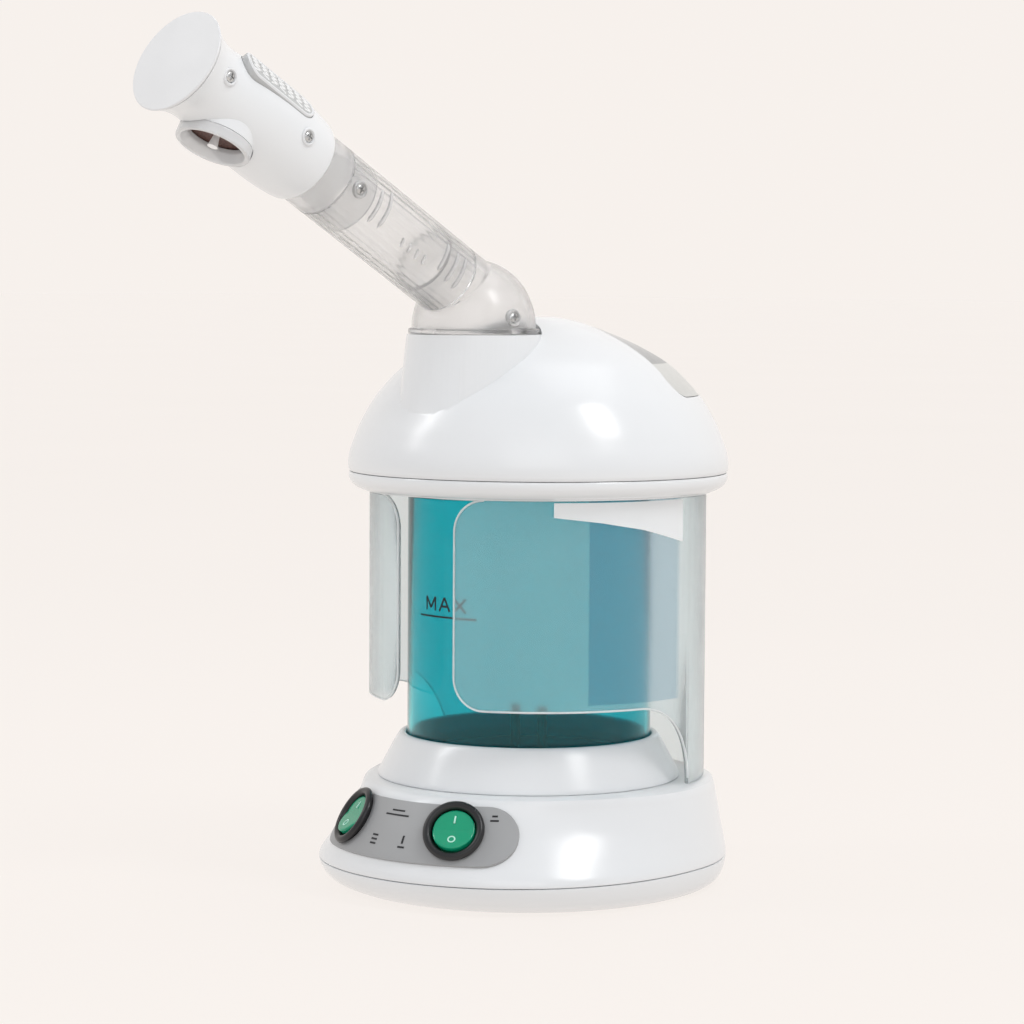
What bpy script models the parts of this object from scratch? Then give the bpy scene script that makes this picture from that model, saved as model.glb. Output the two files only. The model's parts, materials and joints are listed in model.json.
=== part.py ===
"""A tabletop facial steamer: base with heater and switches, jar, guard, lift-off head, arm and steam nozzle.

The front is -Y, the arm leans out over it, and the origin is the middle of the resting face.
Profiles and driving dimensions are in millimetres; MM turns them into metres.
"""

import math

import bmesh
import bpy
from mathutils import Matrix, Vector

MM = 0.001
GAP = 0.3  # clearance left between neighbouring pieces
ROUND = 40  # segments of the large turned parts
MID_ROUND = 28
SMALL_ROUND = 12

# Base: radii by height, towards the side and back, the front quarters and the front
BASE_SECTIONS = (
    # height, side, quarter, front
    (0.0, 79.0, 85.0, 88.0),
    (3.0, 83.0, 91.0, 95.0),
    (8.0, 85.3, 95.0, 100.5),
    (14.0, 86.0, 96.3, 102.0),
    (21.0, 84.8, 91.5, 99.5),
    (27.5, 83.5, 86.8, 96.3),
    (34.0, 82.4, 82.5, 92.8),
    (41.5, 81.0, 78.8, 88.0),
    (45.5, 80.2, 77.6, 85.2),
    (47.4, 79.0, 76.6, 83.0),
    (48.0, 77.0, 75.0, 80.5),
)
QUARTER_ANGLE = 48.7  # degrees from the front
SIDE_ANGLE = 100.0
BASE_WALL = 2.5
SPLIT_Z = 12.5  # the housing meets the pan here
BASE_TOP = 48.0
PAN_FLOOR = 2.5
FOOT_R = 8.0
FOOT_X = 48.0
FOOT_FRONT_Y = -55.0
FOOT_BACK_Y = 45.0
JAR_OPENING_R = 40.0  # hole in the housing's top, under the jar
GLAND_Y = 84.9
GLAND_Z = 28.0

# Jar and the collar that it stands in
JAR_Y = -5.3
JAR_R = 54.7
JAR_WALL = 1.8
JAR_BOTTOM = 48.4
JAR_TOP = 174.0
COLLAR_TOP = 67.3
COLLAR_FOOT_R = 68.0

# Translucent guard round the jar
GUARD_R = 75.6
GUARD_WALL = 1.8
GUARD_TOP = 175.5
GUARD_LOW = 84.7
GUARD_GAP_HALF = 12.8  # degrees to each side of the front
GUARD_CORNER = 14.0
LEG_FROM = 78.0
LEG_TO = 104.0

# Head
RIM_R = 85.0
SEAM_Z = 184.2
DOME_WALL = 2.5
DOME_PROFILE = (
    (85.0, 184.5),
    (85.3, 188.5),
    (84.6, 193.0),
    (82.6, 199.0),
    (78.7, 208.0),
    (71.6, 219.5),
    (59.8, 231.7),
    (46.4, 240.0),
    (32.6, 246.2),
    (20.0, 250.7),
    (12.0, 252.5),
    (0.0, 253.5),
)
TURRET_Y = -43.3
TURRET_TOP = 246.0
TURRET_R = 29.3
TURRET_FOOT_R = 34.0
TURRET_FOOT_Z = 204.0
SPIGOT_R = 19.4
INLAY_FRONT_Y = 11.0
INLAY_LOW_Z = 218.7

# Arm
ARM_START = (0.0, -52.76, 266.06)
ARM_RISE = 28.4  # degrees above level
ELBOW_R = 27.2
ELBOW_Z = 249.0
ELBOW_HEIGHT = 29.6  # of the cap above ELBOW_Z
ELBOW_WALL = 2.6
FLANGE_R = 28.7
FLANGE_TOP = 248.6
SPIGOT_FOOT = 239.0
TUBE_R = 16.5
TUBE_WALL = 1.9
TUBE_FROM = 10.0
NECK_TO = 26.0
TUBE_TO = 95.0
SLEEVE_WALL = 1.8  # of the elbow's neck and the coupling
COUPLING_FROM = 78.0
COUPLING_TO = 124.0
NOZZLE_FROM = 109.8
NOZZLE_TO = 187.2
NOZZLE_PROFILE = (
    # radius, distance along the arm
    (17.4, 109.8), (18.4, 111.0), (19.2, 115.0), (19.9, 122.0), (20.2, 131.0), (20.1, 144.0), (19.4, 155.0),
    (18.3, 164.0), (17.6, 170.0), (17.7, 175.0), (18.7, 180.0), (20.2, 184.0), (21.7, 187.2),
)
NOZZLE_BORE = 15.4
CAP_R = 22.9
CAP_END = 189.2
CAP_PLUG = 8.0
OUTLET_AT = 156.0
OUTLET_R = 15.8
OUTLET_WALL = 2.2
OUTLET_BARREL = 1.3
GRILLE_THICKNESS = 1.4
OUTLET_DROP = 15.9
LIP_END = 20.4
WINDOW_AT = 147.5
WINDOW_TURN = 42.0  # degrees from level towards the upper side
WINDOW_LENGTH = 42.0
WINDOW_WIDTH = 14.0
WINDOW_BOTTOM = 16.6  # from the arm's axis
WINDOW_TOP = 21.2
TUBE_SCREW = (88.6, -5.0)  # distance along the arm, turn in degrees
NOZZLE_SCREWS = ((128.1, 1.0, 20.1), (175.0, 1.0, 17.7))  # the same, then the nozzle's radius there
ELBOW_SCREW = (82.0, 9.6)  # turn from the front, rise

# Switches
SWITCH_X = 29.0
SWITCH_Z = 34.0
BEZEL_R = 13.6
BARREL_R = 11.9
ROCKER_R = 9.3
ROCKER_TILT = 8.0
BARREL_DEPTH = 14.0
PANEL_LOW_Z = 20.5
PANEL_HIGH_Z = 44.5
PANEL_HALF = 56.0  # along the surface


def material(name, colour, roughness, metallic=0.0, alpha=1.0):
    made = bpy.data.materials.new(name)
    made.use_nodes = True
    shader = made.node_tree.nodes["Principled BSDF"]
    shader.inputs["Base Color"].default_value = (*colour, 1.0)
    shader.inputs["Roughness"].default_value = roughness
    shader.inputs["Metallic"].default_value = metallic
    shader.inputs["Alpha"].default_value = alpha
    made.diffuse_color = (*colour, alpha)
    return made


def clear_scene():
    for old in list(bpy.data.objects):
        bpy.data.objects.remove(old, do_unlink=True)


def finish_mesh(name, bm, finish, place=None):
    """Turns a bmesh in millimetres into a linked, shaded object in metres."""
    bmesh.ops.remove_doubles(bm, verts=bm.verts, dist=1e-3)
    bmesh.ops.recalc_face_normals(bm, faces=bm.faces)
    bmesh.ops.scale(bm, vec=(MM, MM, MM), verts=bm.verts)
    mesh = bpy.data.meshes.new(name)
    bm.to_mesh(mesh)
    bm.free()
    mesh.shade_smooth()
    mesh.set_sharp_from_angle(angle=math.radians(35))
    made = bpy.data.objects.new(name, mesh)
    if finish:
        made.data.materials.append(finish)
    if place:
        made.matrix_world = place
    bpy.context.collection.objects.link(made)
    return made


def hide_cutter(cutter):
    cutter.hide_render = True
    cutter.display_type = "WIRE"
    return cutter


def boolean(target, other, operation="DIFFERENCE"):
    step = target.modifiers.new(f"{operation.lower()}_{other.name}", "BOOLEAN")
    step.operation = operation
    step.object = other
    step.solver = "EXACT"


def cut(target, cutter):
    """Adds a cutter to the group that one Boolean takes out of the target."""
    name = f"cuts_{target.name}"
    group = bpy.data.collections.get(name)
    if not group:
        group = bpy.data.collections.new(name)
        step = target.modifiers.new("cuts", "BOOLEAN")
        step.operation = "DIFFERENCE"
        step.operand_type = "COLLECTION"
        step.collection = group
        step.solver = "EXACT"
    group.objects.link(hide_cutter(cutter))


def moved(x, y, z):
    return Matrix.Translation((x * MM, y * MM, z * MM))


def turned_bmesh(profile, segments):
    """Spins a profile of (radius, height) about Z; it closes on itself unless both ends are on the axis."""
    bm = bmesh.new()
    points = [bm.verts.new((radius, 0.0, height)) for radius, height in profile]
    edges = [bm.edges.new(pair) for pair in zip(points, points[1:])]
    if profile[0][0] > 0 or profile[-1][0] > 0:
        edges.append(bm.edges.new((points[-1], points[0])))
    bmesh.ops.spin(
        bm, geom=points + edges, axis=(0, 0, 1), cent=(0, 0, 0), angle=math.tau, steps=segments, use_merge=True
    )
    bmesh.ops.remove_doubles(bm, verts=bm.verts, dist=1e-3)
    return bm


def turned(name, profile, finish, segments=ROUND, place=None):
    return finish_mesh(name, turned_bmesh(profile, segments), finish, place)


def skinned(name, rings, finish, closed=False, place=None):
    """Joins rings of points with faces; closed joins the last ring to the first, else both ends get caps."""
    bm = bmesh.new()
    rows = [[bm.verts.new(point) for point in ring] for ring in rings]
    pairs = list(zip(rows, rows[1:]))
    if closed:
        pairs.append((rows[-1], rows[0]))
    for lower, upper in pairs:
        for i in range(len(lower)):
            j = (i + 1) % len(lower)
            bm.faces.new((lower[i], lower[j], upper[j], upper[i]))
    if not closed:
        bm.faces.new(rows[0])
        bm.faces.new(rows[-1])
    return finish_mesh(name, bm, finish, place)


def block(name, size, centre, finish, bevel=0.8):
    bm = bmesh.new()
    bmesh.ops.create_cube(bm, size=1.0)
    bmesh.ops.scale(bm, vec=size, verts=bm.verts)
    made = finish_mesh(name, bm, finish, moved(*centre))
    if bevel:
        rounding = made.modifiers.new("rounding", "BEVEL")
        rounding.width = bevel * MM
        rounding.segments = 2
    return made


def rod(name, radius, low, high, finish, segments=SMALL_ROUND, place=None):
    return turned(name, ((0.0, low), (radius, low), (radius, high), (0.0, high)), finish, segments, place)


def base_section(height):
    """Radii of the base at the side, the front quarter and the front, at a height."""
    for lower, upper in zip(BASE_SECTIONS, BASE_SECTIONS[1:]):
        if height <= upper[0]:
            share = (height - lower[0]) / (upper[0] - lower[0])
            return [lower[i] + (upper[i] - lower[i]) * share for i in (1, 2, 3)]
    return BASE_SECTIONS[-1][1:]


def base_radius(angle, height, inset=0.0):
    """Radius of the base at an angle in radians from the front; it swells forward within SIDE_ANGLE of it."""
    side, quarter, front = base_section(height)
    turn = min(abs(math.degrees(math.remainder(angle, math.tau))), SIDE_ANGLE)
    phase = math.pi / 2 * turn / SIDE_ANGLE
    quarter_phase = math.pi / 2 * QUARTER_ANGLE / SIDE_ANGLE
    swell = (front - side) * math.cos(phase) ** 2
    at_quarter = side + (front - side) * math.cos(quarter_phase) ** 2
    return side + swell + (quarter - at_quarter) * math.sin(2 * phase) ** 2 - inset


def base_point(angle, height, inset=0.0):
    radius = base_radius(angle, height, inset)
    return Vector((radius * math.sin(angle), -radius * math.cos(angle), height))


def base_normal(angle, height):
    step = 0.01
    along = base_point(angle + step, height) - base_point(angle - step, height)
    upward = base_point(angle, height + 1.0) - base_point(angle, height - 1.0)
    return along.cross(upward).normalized()


def base_ring(height, inset=0.0, segments=ROUND, section=None):
    level = height if section is None else section
    ring = [base_point(math.tau * i / segments, level, inset) for i in range(segments)]
    return [(p.x, p.y, height) for p in ring]


def circle(radius, height, y=0.0, segments=ROUND):
    turns = [math.tau * i / segments for i in range(segments)]
    return [(radius * math.sin(t), y - radius * math.cos(t), height) for t in turns]


# ---- base ----


def make_pan(finish):
    outer = [base_ring(h) for h in (0.0, 1.2, 3.0, 5.5, 8.0, SPLIT_Z - GAP)]
    inner = [base_ring(h, BASE_WALL) for h in (SPLIT_Z - GAP, 5.5)]
    floor = [base_ring(PAN_FLOOR, 5.0)]
    pan = skinned("base_pan", outer + inner + floor, finish)
    for i, (x, y) in enumerate(foot_places()):
        pocket = rod(f"cut_foot_{i + 1}", FOOT_R + 0.4, -2.0, 1.3, None, place=moved(x, y, 0))
        cut(pan, pocket)
    return pan


def foot_places():
    return [(x, y) for x in (-FOOT_X, FOOT_X) for y in (FOOT_FRONT_Y, FOOT_BACK_Y)]


def make_feet(finish):
    for i, (x, y) in enumerate(foot_places()):
        profile = ((0.0, 0.0), (FOOT_R - 0.4, 0.0), (FOOT_R, 0.4), (FOOT_R, 1.0), (0.0, 1.0))
        turned(f"foot_{i + 1}", profile, finish, SMALL_ROUND, moved(x, y, 0))


def make_housing(finish):
    heights = [SPLIT_Z, 14.0, 21.0, 27.5, 34.0, 41.5, 45.5, 47.4, BASE_TOP]
    outer = [base_ring(h) for h in heights]
    top = [circle(JAR_OPENING_R, height, JAR_Y) for height in (BASE_TOP, BASE_TOP - BASE_WALL)]
    inner = [base_ring(h - BASE_WALL, BASE_WALL, section=h) for h in (BASE_TOP, 45.5)]
    inner += [base_ring(h, BASE_WALL) for h in (21.0, SPLIT_Z)]
    return skinned("base_housing", outer + top + inner, finish, closed=True)


def panel_rows(lift, rows=6, columns=14):
    """Points of the pill-shaped panel, row by row, at a distance out from the base's surface."""
    middle = (PANEL_LOW_Z + PANEL_HIGH_Z) / 2
    half = (PANEL_HIGH_Z - PANEL_LOW_Z) / 2
    end = 15.0
    grid = []
    for row in range(rows + 1):
        level = -math.cos(math.pi * row / rows)
        height = middle + half * level
        reach = PANEL_HALF - end + end * math.sqrt(max(0.0, 1 - level * level)) + 0.4
        line = []
        for column in range(columns + 1):
            along = reach * (2 * column / columns - 1)
            angle = along / base_radius(0.0, middle) * 1.06
            line.append(base_point(angle, height) + base_normal(angle, height) * lift)
        grid.append(line)
    return grid


def slab(name, low, high, finish):
    """Closes two matching grids of points into one thin plate."""
    bm = bmesh.new()
    under = [[bm.verts.new(p) for p in line] for line in low]
    over = [[bm.verts.new(p) for p in line] for line in high]
    last_row, last_column = len(low) - 1, len(low[0]) - 1
    for r in range(last_row):
        for c in range(last_column):
            corners = ((r, c), (r, c + 1), (r + 1, c + 1), (r + 1, c))
            bm.faces.new([under[i][j] for i, j in reversed(corners)])
            bm.faces.new([over[i][j] for i, j in corners])
    edge = [(0, c) for c in range(last_column)] + [(r, last_column) for r in range(last_row)]
    edge += [(last_row, c) for c in range(last_column, 0, -1)] + [(r, 0) for r in range(last_row, 0, -1)]
    for (a, b), (i, j) in zip(edge, edge[1:] + edge[:1]):
        bm.faces.new((under[a][b], under[i][j], over[i][j], over[a][b]))
    return finish_mesh(name, bm, finish)


def switch_place(side):
    """Frame of a switch: Z out of the base, X level along its surface."""
    angle = side * math.asin(SWITCH_X / base_radius(math.radians(18.0), SWITCH_Z))
    normal = base_normal(angle, SWITCH_Z)
    level = Vector((0, 0, 1)).cross(normal).normalized()
    upward = normal.cross(level)
    place = Matrix((level, upward, normal)).transposed().to_4x4()
    place.translation = base_point(angle, SWITCH_Z) * MM
    return place


def make_switches(panel, housing, black, green):
    for side, label in ((-1, "left"), (1, "right")):
        place = switch_place(side)
        hole = rod(f"cut_switch_{label}", BARREL_R + GAP, -20.0, 12.0, None, 24, place)
        cut(panel, hole)
        cut(housing, hole)
        cup = (
            (0.0, -6.0), (9.9, -6.0), (9.9, 2.8), (10.7, 4.0), (12.5, 4.0), (BEZEL_R, 2.9),
            (BEZEL_R, 1.6), (BARREL_R, 1.6), (BARREL_R, -BARREL_DEPTH), (0.0, -BARREL_DEPTH),
        )
        turned(f"switch_bezel_{label}", cup, black, 24, place)
        make_rocker(label, place, green)
        make_contacts(label, place, black)


def make_rocker(label, place, finish):
    """A round rocker with a shallow valley across its middle, tilted to its off side."""
    tilt = Matrix.Rotation(math.radians(-ROCKER_TILT), 4, "X")
    bm = turned_bmesh(((0.0, -2.0), (ROCKER_R, -2.0), (ROCKER_R, 2.4), (0.0, 2.4)), 24)
    for point in bm.verts:
        if point.co.z > 0:
            point.co.z -= 0.9 * (1 - abs(point.co.y) / ROCKER_R)
    return finish_mesh(f"switch_rocker_{label}", bm, finish, place @ moved(0, 0, 1.0) @ tilt)


def make_contacts(label, place, finish):
    made = block(f"switch_terminals_{label}", (8.0, 2.0, 7.0), (0, 0, 0), finish, 0.3)
    made.matrix_world = place @ moved(0, 0, -BARREL_DEPTH - GAP - 3.5)


def make_collar(finish):
    profile = (
        (COLLAR_FOOT_R, BASE_TOP + GAP), (COLLAR_FOOT_R - 0.4, BASE_TOP + 1.6), (58.2, 66.0),
        (57.2, COLLAR_TOP), (JAR_R + GAP + 0.1, COLLAR_TOP), (JAR_R + GAP + 0.1, 60.0),
        (62.5, BASE_TOP + GAP),
    )
    return turned("jar_collar", profile, finish, ROUND, moved(0, JAR_Y, 0))


def make_heating(steel, dark, red):
    turned(
        "heater_plate",
        ((0.0, 40.0), (37.5, 40.0), (39.5, 42.0), (39.5, 47.4), (38.8, 48.0), (0.0, 48.0)),
        steel, MID_ROUND, moved(0, JAR_Y, 0),
    )
    turns = [math.tau * i / 6 for i in range(6)]
    ring = [(31.0 + 3.2 * math.cos(t), 36.2 + 3.2 * math.sin(t)) for t in turns]
    turned("heating_element", ring, dark, SMALL_ROUND, moved(0, JAR_Y, 0))
    rod("thermostat", 7.0, 31.0, 40.0 - GAP, steel, 20, moved(0, JAR_Y, 0))
    block("thermal_fuse", (12.0, 4.0, 4.0), (14.0, JAR_Y + 12.0, 37.2), red, 0.6)


def make_electrics(board, dark, black):
    block("control_board", (62.0, 44.0, 1.6), (0.0, 18.0, 12.8), board, 0.0)
    block("ion_module", (26.0, 18.0, 14.0), (-14.0, 20.0, 13.6 + GAP + 7.0), dark, 1.0)
    block("relay", (16.0, 12.0, 12.0), (18.0, 22.0, 13.6 + GAP + 6.0), black, 0.8)
    for i, (x, y) in enumerate(((-26.0, 4.0), (26.0, 4.0), (-26.0, 34.0), (26.0, 34.0))):
        rod(f"board_post_{i + 1}", 3.0, PAN_FLOOR + GAP, 12.0 - GAP, dark, 8, moved(x, y, 0))


def make_gland(housing, finish):
    """The rubber outlet for the mains lead, through the back of the housing."""
    place = moved(0, GLAND_Y, GLAND_Z) @ Matrix.Rotation(math.radians(-90), 4, "X")
    cut(housing, rod("cut_gland", 5.6, -14.0, 14.0, None, SMALL_ROUND, place))
    profile = (
        (2.9, -6.5), (5.2, -6.5), (5.2, 0.4), (7.4, 0.4), (7.4, 2.2), (5.4, 3.2), (4.6, 9.0), (2.9, 9.0),
    )
    turned("cord_gland", profile, finish, SMALL_ROUND, place)


# ---- jar and guard ----


def make_jar(finish):
    bore = JAR_R - JAR_WALL
    profile = (
        (0.0, JAR_BOTTOM), (JAR_R - 1.5, JAR_BOTTOM), (JAR_R, JAR_BOTTOM + 1.5), (JAR_R, JAR_TOP - 0.4),
        (JAR_R - 0.4, JAR_TOP), (bore + 0.3, JAR_TOP), (bore, JAR_TOP - 0.6), (bore, JAR_BOTTOM + 3.4),
        (bore - 1.2, JAR_BOTTOM + 2.2), (0.0, JAR_BOTTOM + 2.2),
    )
    turned("water_jar", profile, finish, ROUND, moved(0, JAR_Y, 0))


def make_boiling_dish(steel, dark):
    floor = JAR_BOTTOM + 2.2 + GAP
    profile = (
        (0.0, floor), (40.0, floor), (46.0, floor + 5.0), (49.5, floor + 5.6), (49.5, floor + 6.6),
        (45.4, floor + 6.4), (39.4, floor + 1.4), (14.0, floor + 1.4), (12.0, floor + 3.4), (0.0, floor + 3.4),
    )
    turned("boiling_dish", profile, steel, MID_ROUND, moved(0, JAR_Y, 0))
    for i, x in enumerate((-8.0, 8.0)):
        low = floor + 3.4 + GAP
        rod(f"level_probe_{i + 1}", 2.2, low, low + 26.0, dark, 10, moved(x, JAR_Y, 0))


def guard_edges(turn):
    """Lower and upper edge heights of the guard at a turn, in degrees, from the front."""
    along = math.radians(turn - GUARD_GAP_HALF) * GUARD_R
    lift = 0.0
    if along < GUARD_CORNER:
        lift = GUARD_CORNER - math.sqrt(max(0.0, GUARD_CORNER**2 - (GUARD_CORNER - along) ** 2))
    low = GUARD_LOW + lift
    leg_foot = BASE_TOP + GAP
    if turn > LEG_FROM:
        share = min(1.0, (turn - LEG_FROM) / (LEG_TO - LEG_FROM))
        low = GUARD_LOW - (GUARD_LOW - leg_foot) * (1 - math.sqrt(1 - share * share))
    return low, GUARD_TOP - lift


def make_guard(finish):
    ends = [GUARD_GAP_HALF + math.degrees(GUARD_CORNER / GUARD_R) * (i / 6) ** 2 for i in range(7)]
    middle = [30.0 + 8.0 * i for i in range(7)]
    leg = [LEG_FROM + (LEG_TO - LEG_FROM) * math.sin(math.pi / 2 * i / 6) for i in range(1, 7)]
    back = [110.0 + 10.0 * i for i in range(8)]
    half = ends + middle[:-1] + [LEG_FROM] + leg + back
    turns = [(t, 1) for t in half] + [(t, -1) for t in reversed(half[:-1])]
    bm = bmesh.new()
    columns = []
    for turn, side in turns:
        low, high = guard_edges(turn)
        angle = math.radians(turn) * side
        ray = Vector((math.sin(angle), -math.cos(angle), 0.0))
        corners = ((GUARD_R, low), (GUARD_R, high), (GUARD_R - GUARD_WALL, high), (GUARD_R - GUARD_WALL, low))
        columns.append([bm.verts.new(ray * radius + Vector((0, 0, z))) for radius, z in corners])
    for first, second in zip(columns, columns[1:]):
        for i in range(4):
            j = (i + 1) % 4
            bm.faces.new((first[i], first[j], second[j], second[i]))
    bm.faces.new(columns[0])
    bm.faces.new(columns[-1])
    finish_mesh("jar_guard", bm, finish)


# ---- head ----


def offset_profile(profile, depth):
    """Moves a dome profile inwards by depth, along its own normals; the last point stays on the axis."""
    moved_points = []
    for i, (radius, height) in enumerate(profile):
        before = profile[max(0, i - 1)]
        after = profile[min(len(profile) - 1, i + 1)]
        run, rise = after[0] - before[0], after[1] - before[1]
        length = math.hypot(run, rise)
        moved_points.append((radius - depth * rise / length, height + depth * run / length))
    moved_points[-1] = (0.0, profile[-1][1] - depth)
    return moved_points


def dome_shell_profile(outside, inside, low):
    """Closed profile of a shell between two offsets of the dome, above a height."""
    outer = [p for p in offset_profile(DOME_PROFILE, -outside) if p[1] >= low]
    inner = [p for p in offset_profile(DOME_PROFILE, inside) if p[1] >= low]
    return list(reversed(inner)) + outer


def turret_solid(name, shrink, low, top, tip):
    """The turret's tapered body from low to top, with what continues above it."""
    spread = (TURRET_FOOT_R - TURRET_R) / (TURRET_TOP - TURRET_FOOT_Z)
    foot = TURRET_R - shrink + spread * (TURRET_TOP - low)
    profile = [(0.0, low), (foot, low), (TURRET_R - shrink, top)] + tip
    return hide_cutter(turned(name, profile, None, MID_ROUND, moved(0, TURRET_Y, 0)))


def make_dome(finish):
    solid = [(0.0, SEAM_Z + GAP)] + list(DOME_PROFILE)
    dome = turned("dome_cover", solid, finish)
    above = TURRET_TOP + 2.0
    boolean(dome, turret_solid("add_turret", 0.0, TURRET_FOOT_Z - 4.0, above, [(0.0, above)]), "UNION")
    core = [(0.0, SEAM_Z - 2.0), (RIM_R - DOME_WALL, SEAM_Z - 2.0)] + offset_profile(DOME_PROFILE, DOME_WALL)
    cut(dome, turned("cut_dome_core", core, None, MID_ROUND))
    ceiling = TURRET_TOP - 3.0
    bore = [(SPIGOT_R + GAP, ceiling), (SPIGOT_R + GAP, 258.0), (0.0, 258.0)]
    cut(dome, turret_solid("cut_turret_core", DOME_WALL + 0.3, TURRET_FOOT_Z - 8.0, ceiling, bore))
    seat = rod("cut_elbow_seat", TURRET_R + 0.5, TURRET_TOP, 262.0, None, MID_ROUND, moved(0, TURRET_Y, 0))
    cut(dome, seat)
    pocket = turned("cut_inlay_pocket", dome_shell_profile(3.0, 1.4, 210.0), None)
    boolean(pocket, inlay_window("cut_inlay_window", 0.0), "INTERSECT")
    cut(dome, pocket)


def inlay_window(name, shrink):
    """A block whose front lower edge is rounded; it bounds the inlay at the back of the dome."""
    low, front = INLAY_LOW_Z + shrink, INLAY_FRONT_Y + shrink
    arc = [(front + 9.0 - 9.0 * math.sin(t), low + 9.0 - 9.0 * math.cos(t)) for t in
           (math.pi / 2 * i / 6 for i in range(7))]
    outline = arc + [(front, 270.0), (100.0, 270.0), (100.0, low)]
    rings = [[(x, y, z) for y, z in outline] for x in (-100.0, 100.0)]
    return hide_cutter(skinned(name, rings, None))


def make_inlay(finish):
    inlay = turned("dome_inlay", dome_shell_profile(0.0, 1.1, 210.0), finish)
    boolean(inlay, inlay_window("keep_inlay_window", GAP), "INTERSECT")


def make_tray(finish):
    top = SEAM_Z
    profile = (
        (RIM_R, top), (RIM_R, top - 2.2), (83.4, top - 5.4), (81.0, top - 7.4), (78.2, 175.8),
        (14.0, 175.8), (14.0, 178.2), (78.0, 178.2), (82.0, top),
    )
    turned("head_tray", profile, finish)


def make_gasket(finish):
    profile = ((50.8, JAR_TOP + GAP), (57.2, JAR_TOP + GAP), (57.2, 175.5), (50.8, 175.5))
    turned("jar_gasket", profile, finish, MID_ROUND, moved(0, JAR_Y, 0))


def make_duct(finish):
    """The steam duct leans forward from the tray's port to the turret's bore."""
    stations = ((178.5, 0.0), (190.0, -2.0), (205.0, -16.0), (222.0, -36.0), (232.0, -42.6), (237.0, TURRET_Y))
    outer = [circle(17.0, z, y, 20) for z, y in stations]
    inner = [circle(15.2, z, y, 20) for z, y in reversed(stations)]
    skinned("steam_duct", outer + inner, finish, closed=True)


def make_lamp(glass, dark):
    """The ultraviolet lamp lies in the head beside the duct, in two clips."""
    place = moved(0, 36.0, 196.0) @ Matrix.Rotation(math.radians(90), 4, "Y")
    rod("ozone_lamp", 4.0, -26.0, 26.0, glass, 20, place)
    for side, label in ((-1, "left"), (1, "right")):
        clip = rod(f"lamp_socket_{label}", 6.0, 26.0 + GAP, 34.0, dark, 20, place)
        if side < 0:
            clip.matrix_world = place @ Matrix.Rotation(math.pi, 4, "X")
        block(f"lamp_post_{label}", (5.0, 8.0, 11.0), (side * 30.0, 36.0, 184.2), dark, 0.5)


# ---- arm ----


def arm_frame():
    """Z runs out along the arm, X stays level and Y is its upper side."""
    return moved(*ARM_START) @ Matrix.Rotation(math.radians(90.0 - ARM_RISE), 4, "X")


def elbow_dome(name, inset, foot):
    """A round cap about the turret's axis, over the points of its foot."""
    radius, height = ELBOW_R - inset, ELBOW_HEIGHT - inset
    arc = [(radius * math.cos(t), ELBOW_Z + height * math.sin(t)) for t in
           (math.pi / 2 * i / 9 for i in range(9))]
    return turned(name, foot + arc + [(0.0, ELBOW_Z + height)], None, MID_ROUND, moved(0, TURRET_Y, 0))


def make_elbow(finish, arm):
    """A translucent cap that turns in the turret; the tube slides over its neck."""
    foot = TURRET_TOP + GAP
    neck_r = TUBE_R - TUBE_WALL - GAP
    step = TUBE_FROM - GAP
    half_step = Matrix.Rotation(math.pi / MID_ROUND, 4, "Z")  # keeps the seat's edges off the neck's
    elbow = elbow_dome("elbow", 0.0, [
        (0.0, SPIGOT_FOOT), (SPIGOT_R, SPIGOT_FOOT), (SPIGOT_R, foot), (FLANGE_R, foot), (FLANGE_R, FLANGE_TOP),
        (ELBOW_R, FLANGE_TOP),
    ])
    elbow.data.materials.append(finish)
    steps = (
        (rod("add_socket", TUBE_R, -10.0, 20.0, None, MID_ROUND, arm), "UNION"),
        (rod("cut_tube_seat", TUBE_R + GAP, step, 60.0, None, MID_ROUND, arm @ half_step), "DIFFERENCE"),
        (rod("add_neck", neck_r, -4.0, NECK_TO, None, MID_ROUND, arm), "UNION"),
    )
    for tool, operation in steps:
        boolean(elbow, hide_cutter(tool), operation)
    low = foot + ELBOW_WALL
    core = elbow_dome("cut_elbow_core", ELBOW_WALL, [(0.0, low), (ELBOW_R - ELBOW_WALL, low)])
    limit = rod("cut_core_limit", TUBE_R + 2.0, step - ELBOW_WALL, 60.0, None, MID_ROUND, arm)
    boolean(core, hide_cutter(limit))
    cut(elbow, core)
    cut(elbow, rod("cut_neck_bore", neck_r - SLEEVE_WALL, -12.0, 30.0, None, MID_ROUND, arm))
    cut(elbow, rod("cut_spigot_bore", SPIGOT_R - 2.4, 230.0, 262.0, None, MID_ROUND, moved(0, TURRET_Y, 0)))
    return elbow


def make_tube(finish, arm):
    bore = TUBE_R - TUBE_WALL
    profile = (
        (bore, TUBE_FROM), (TUBE_R, TUBE_FROM), (TUBE_R, TUBE_TO - 0.8), (TUBE_R - 0.8, TUBE_TO), (bore, TUBE_TO),
    )
    return turned("arm_tube", profile, finish, MID_ROUND, arm)


def make_coupling(finish, arm):
    """The sleeve that the nozzle turns on; it shows between the tube and the nozzle."""
    in_tube = TUBE_R - TUBE_WALL - GAP
    in_nozzle = NOZZLE_BORE - GAP
    bore = in_tube - SLEEVE_WALL
    profile = (
        (bore, COUPLING_FROM), (in_tube, COUPLING_FROM), (in_tube, TUBE_TO + GAP), (TUBE_R, TUBE_TO + GAP),
        (TUBE_R, NOZZLE_FROM - GAP), (in_nozzle, NOZZLE_FROM - GAP), (in_nozzle, COUPLING_TO),
        (bore, COUPLING_TO),
    )
    turned("coupling_ring", profile, finish, MID_ROUND, arm)


def outlet_frame(arm):
    """Z points down out of the nozzle, square to the arm."""
    return arm @ moved(0, 0, OUTLET_AT) @ Matrix.Rotation(math.radians(90), 4, "X")


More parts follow.
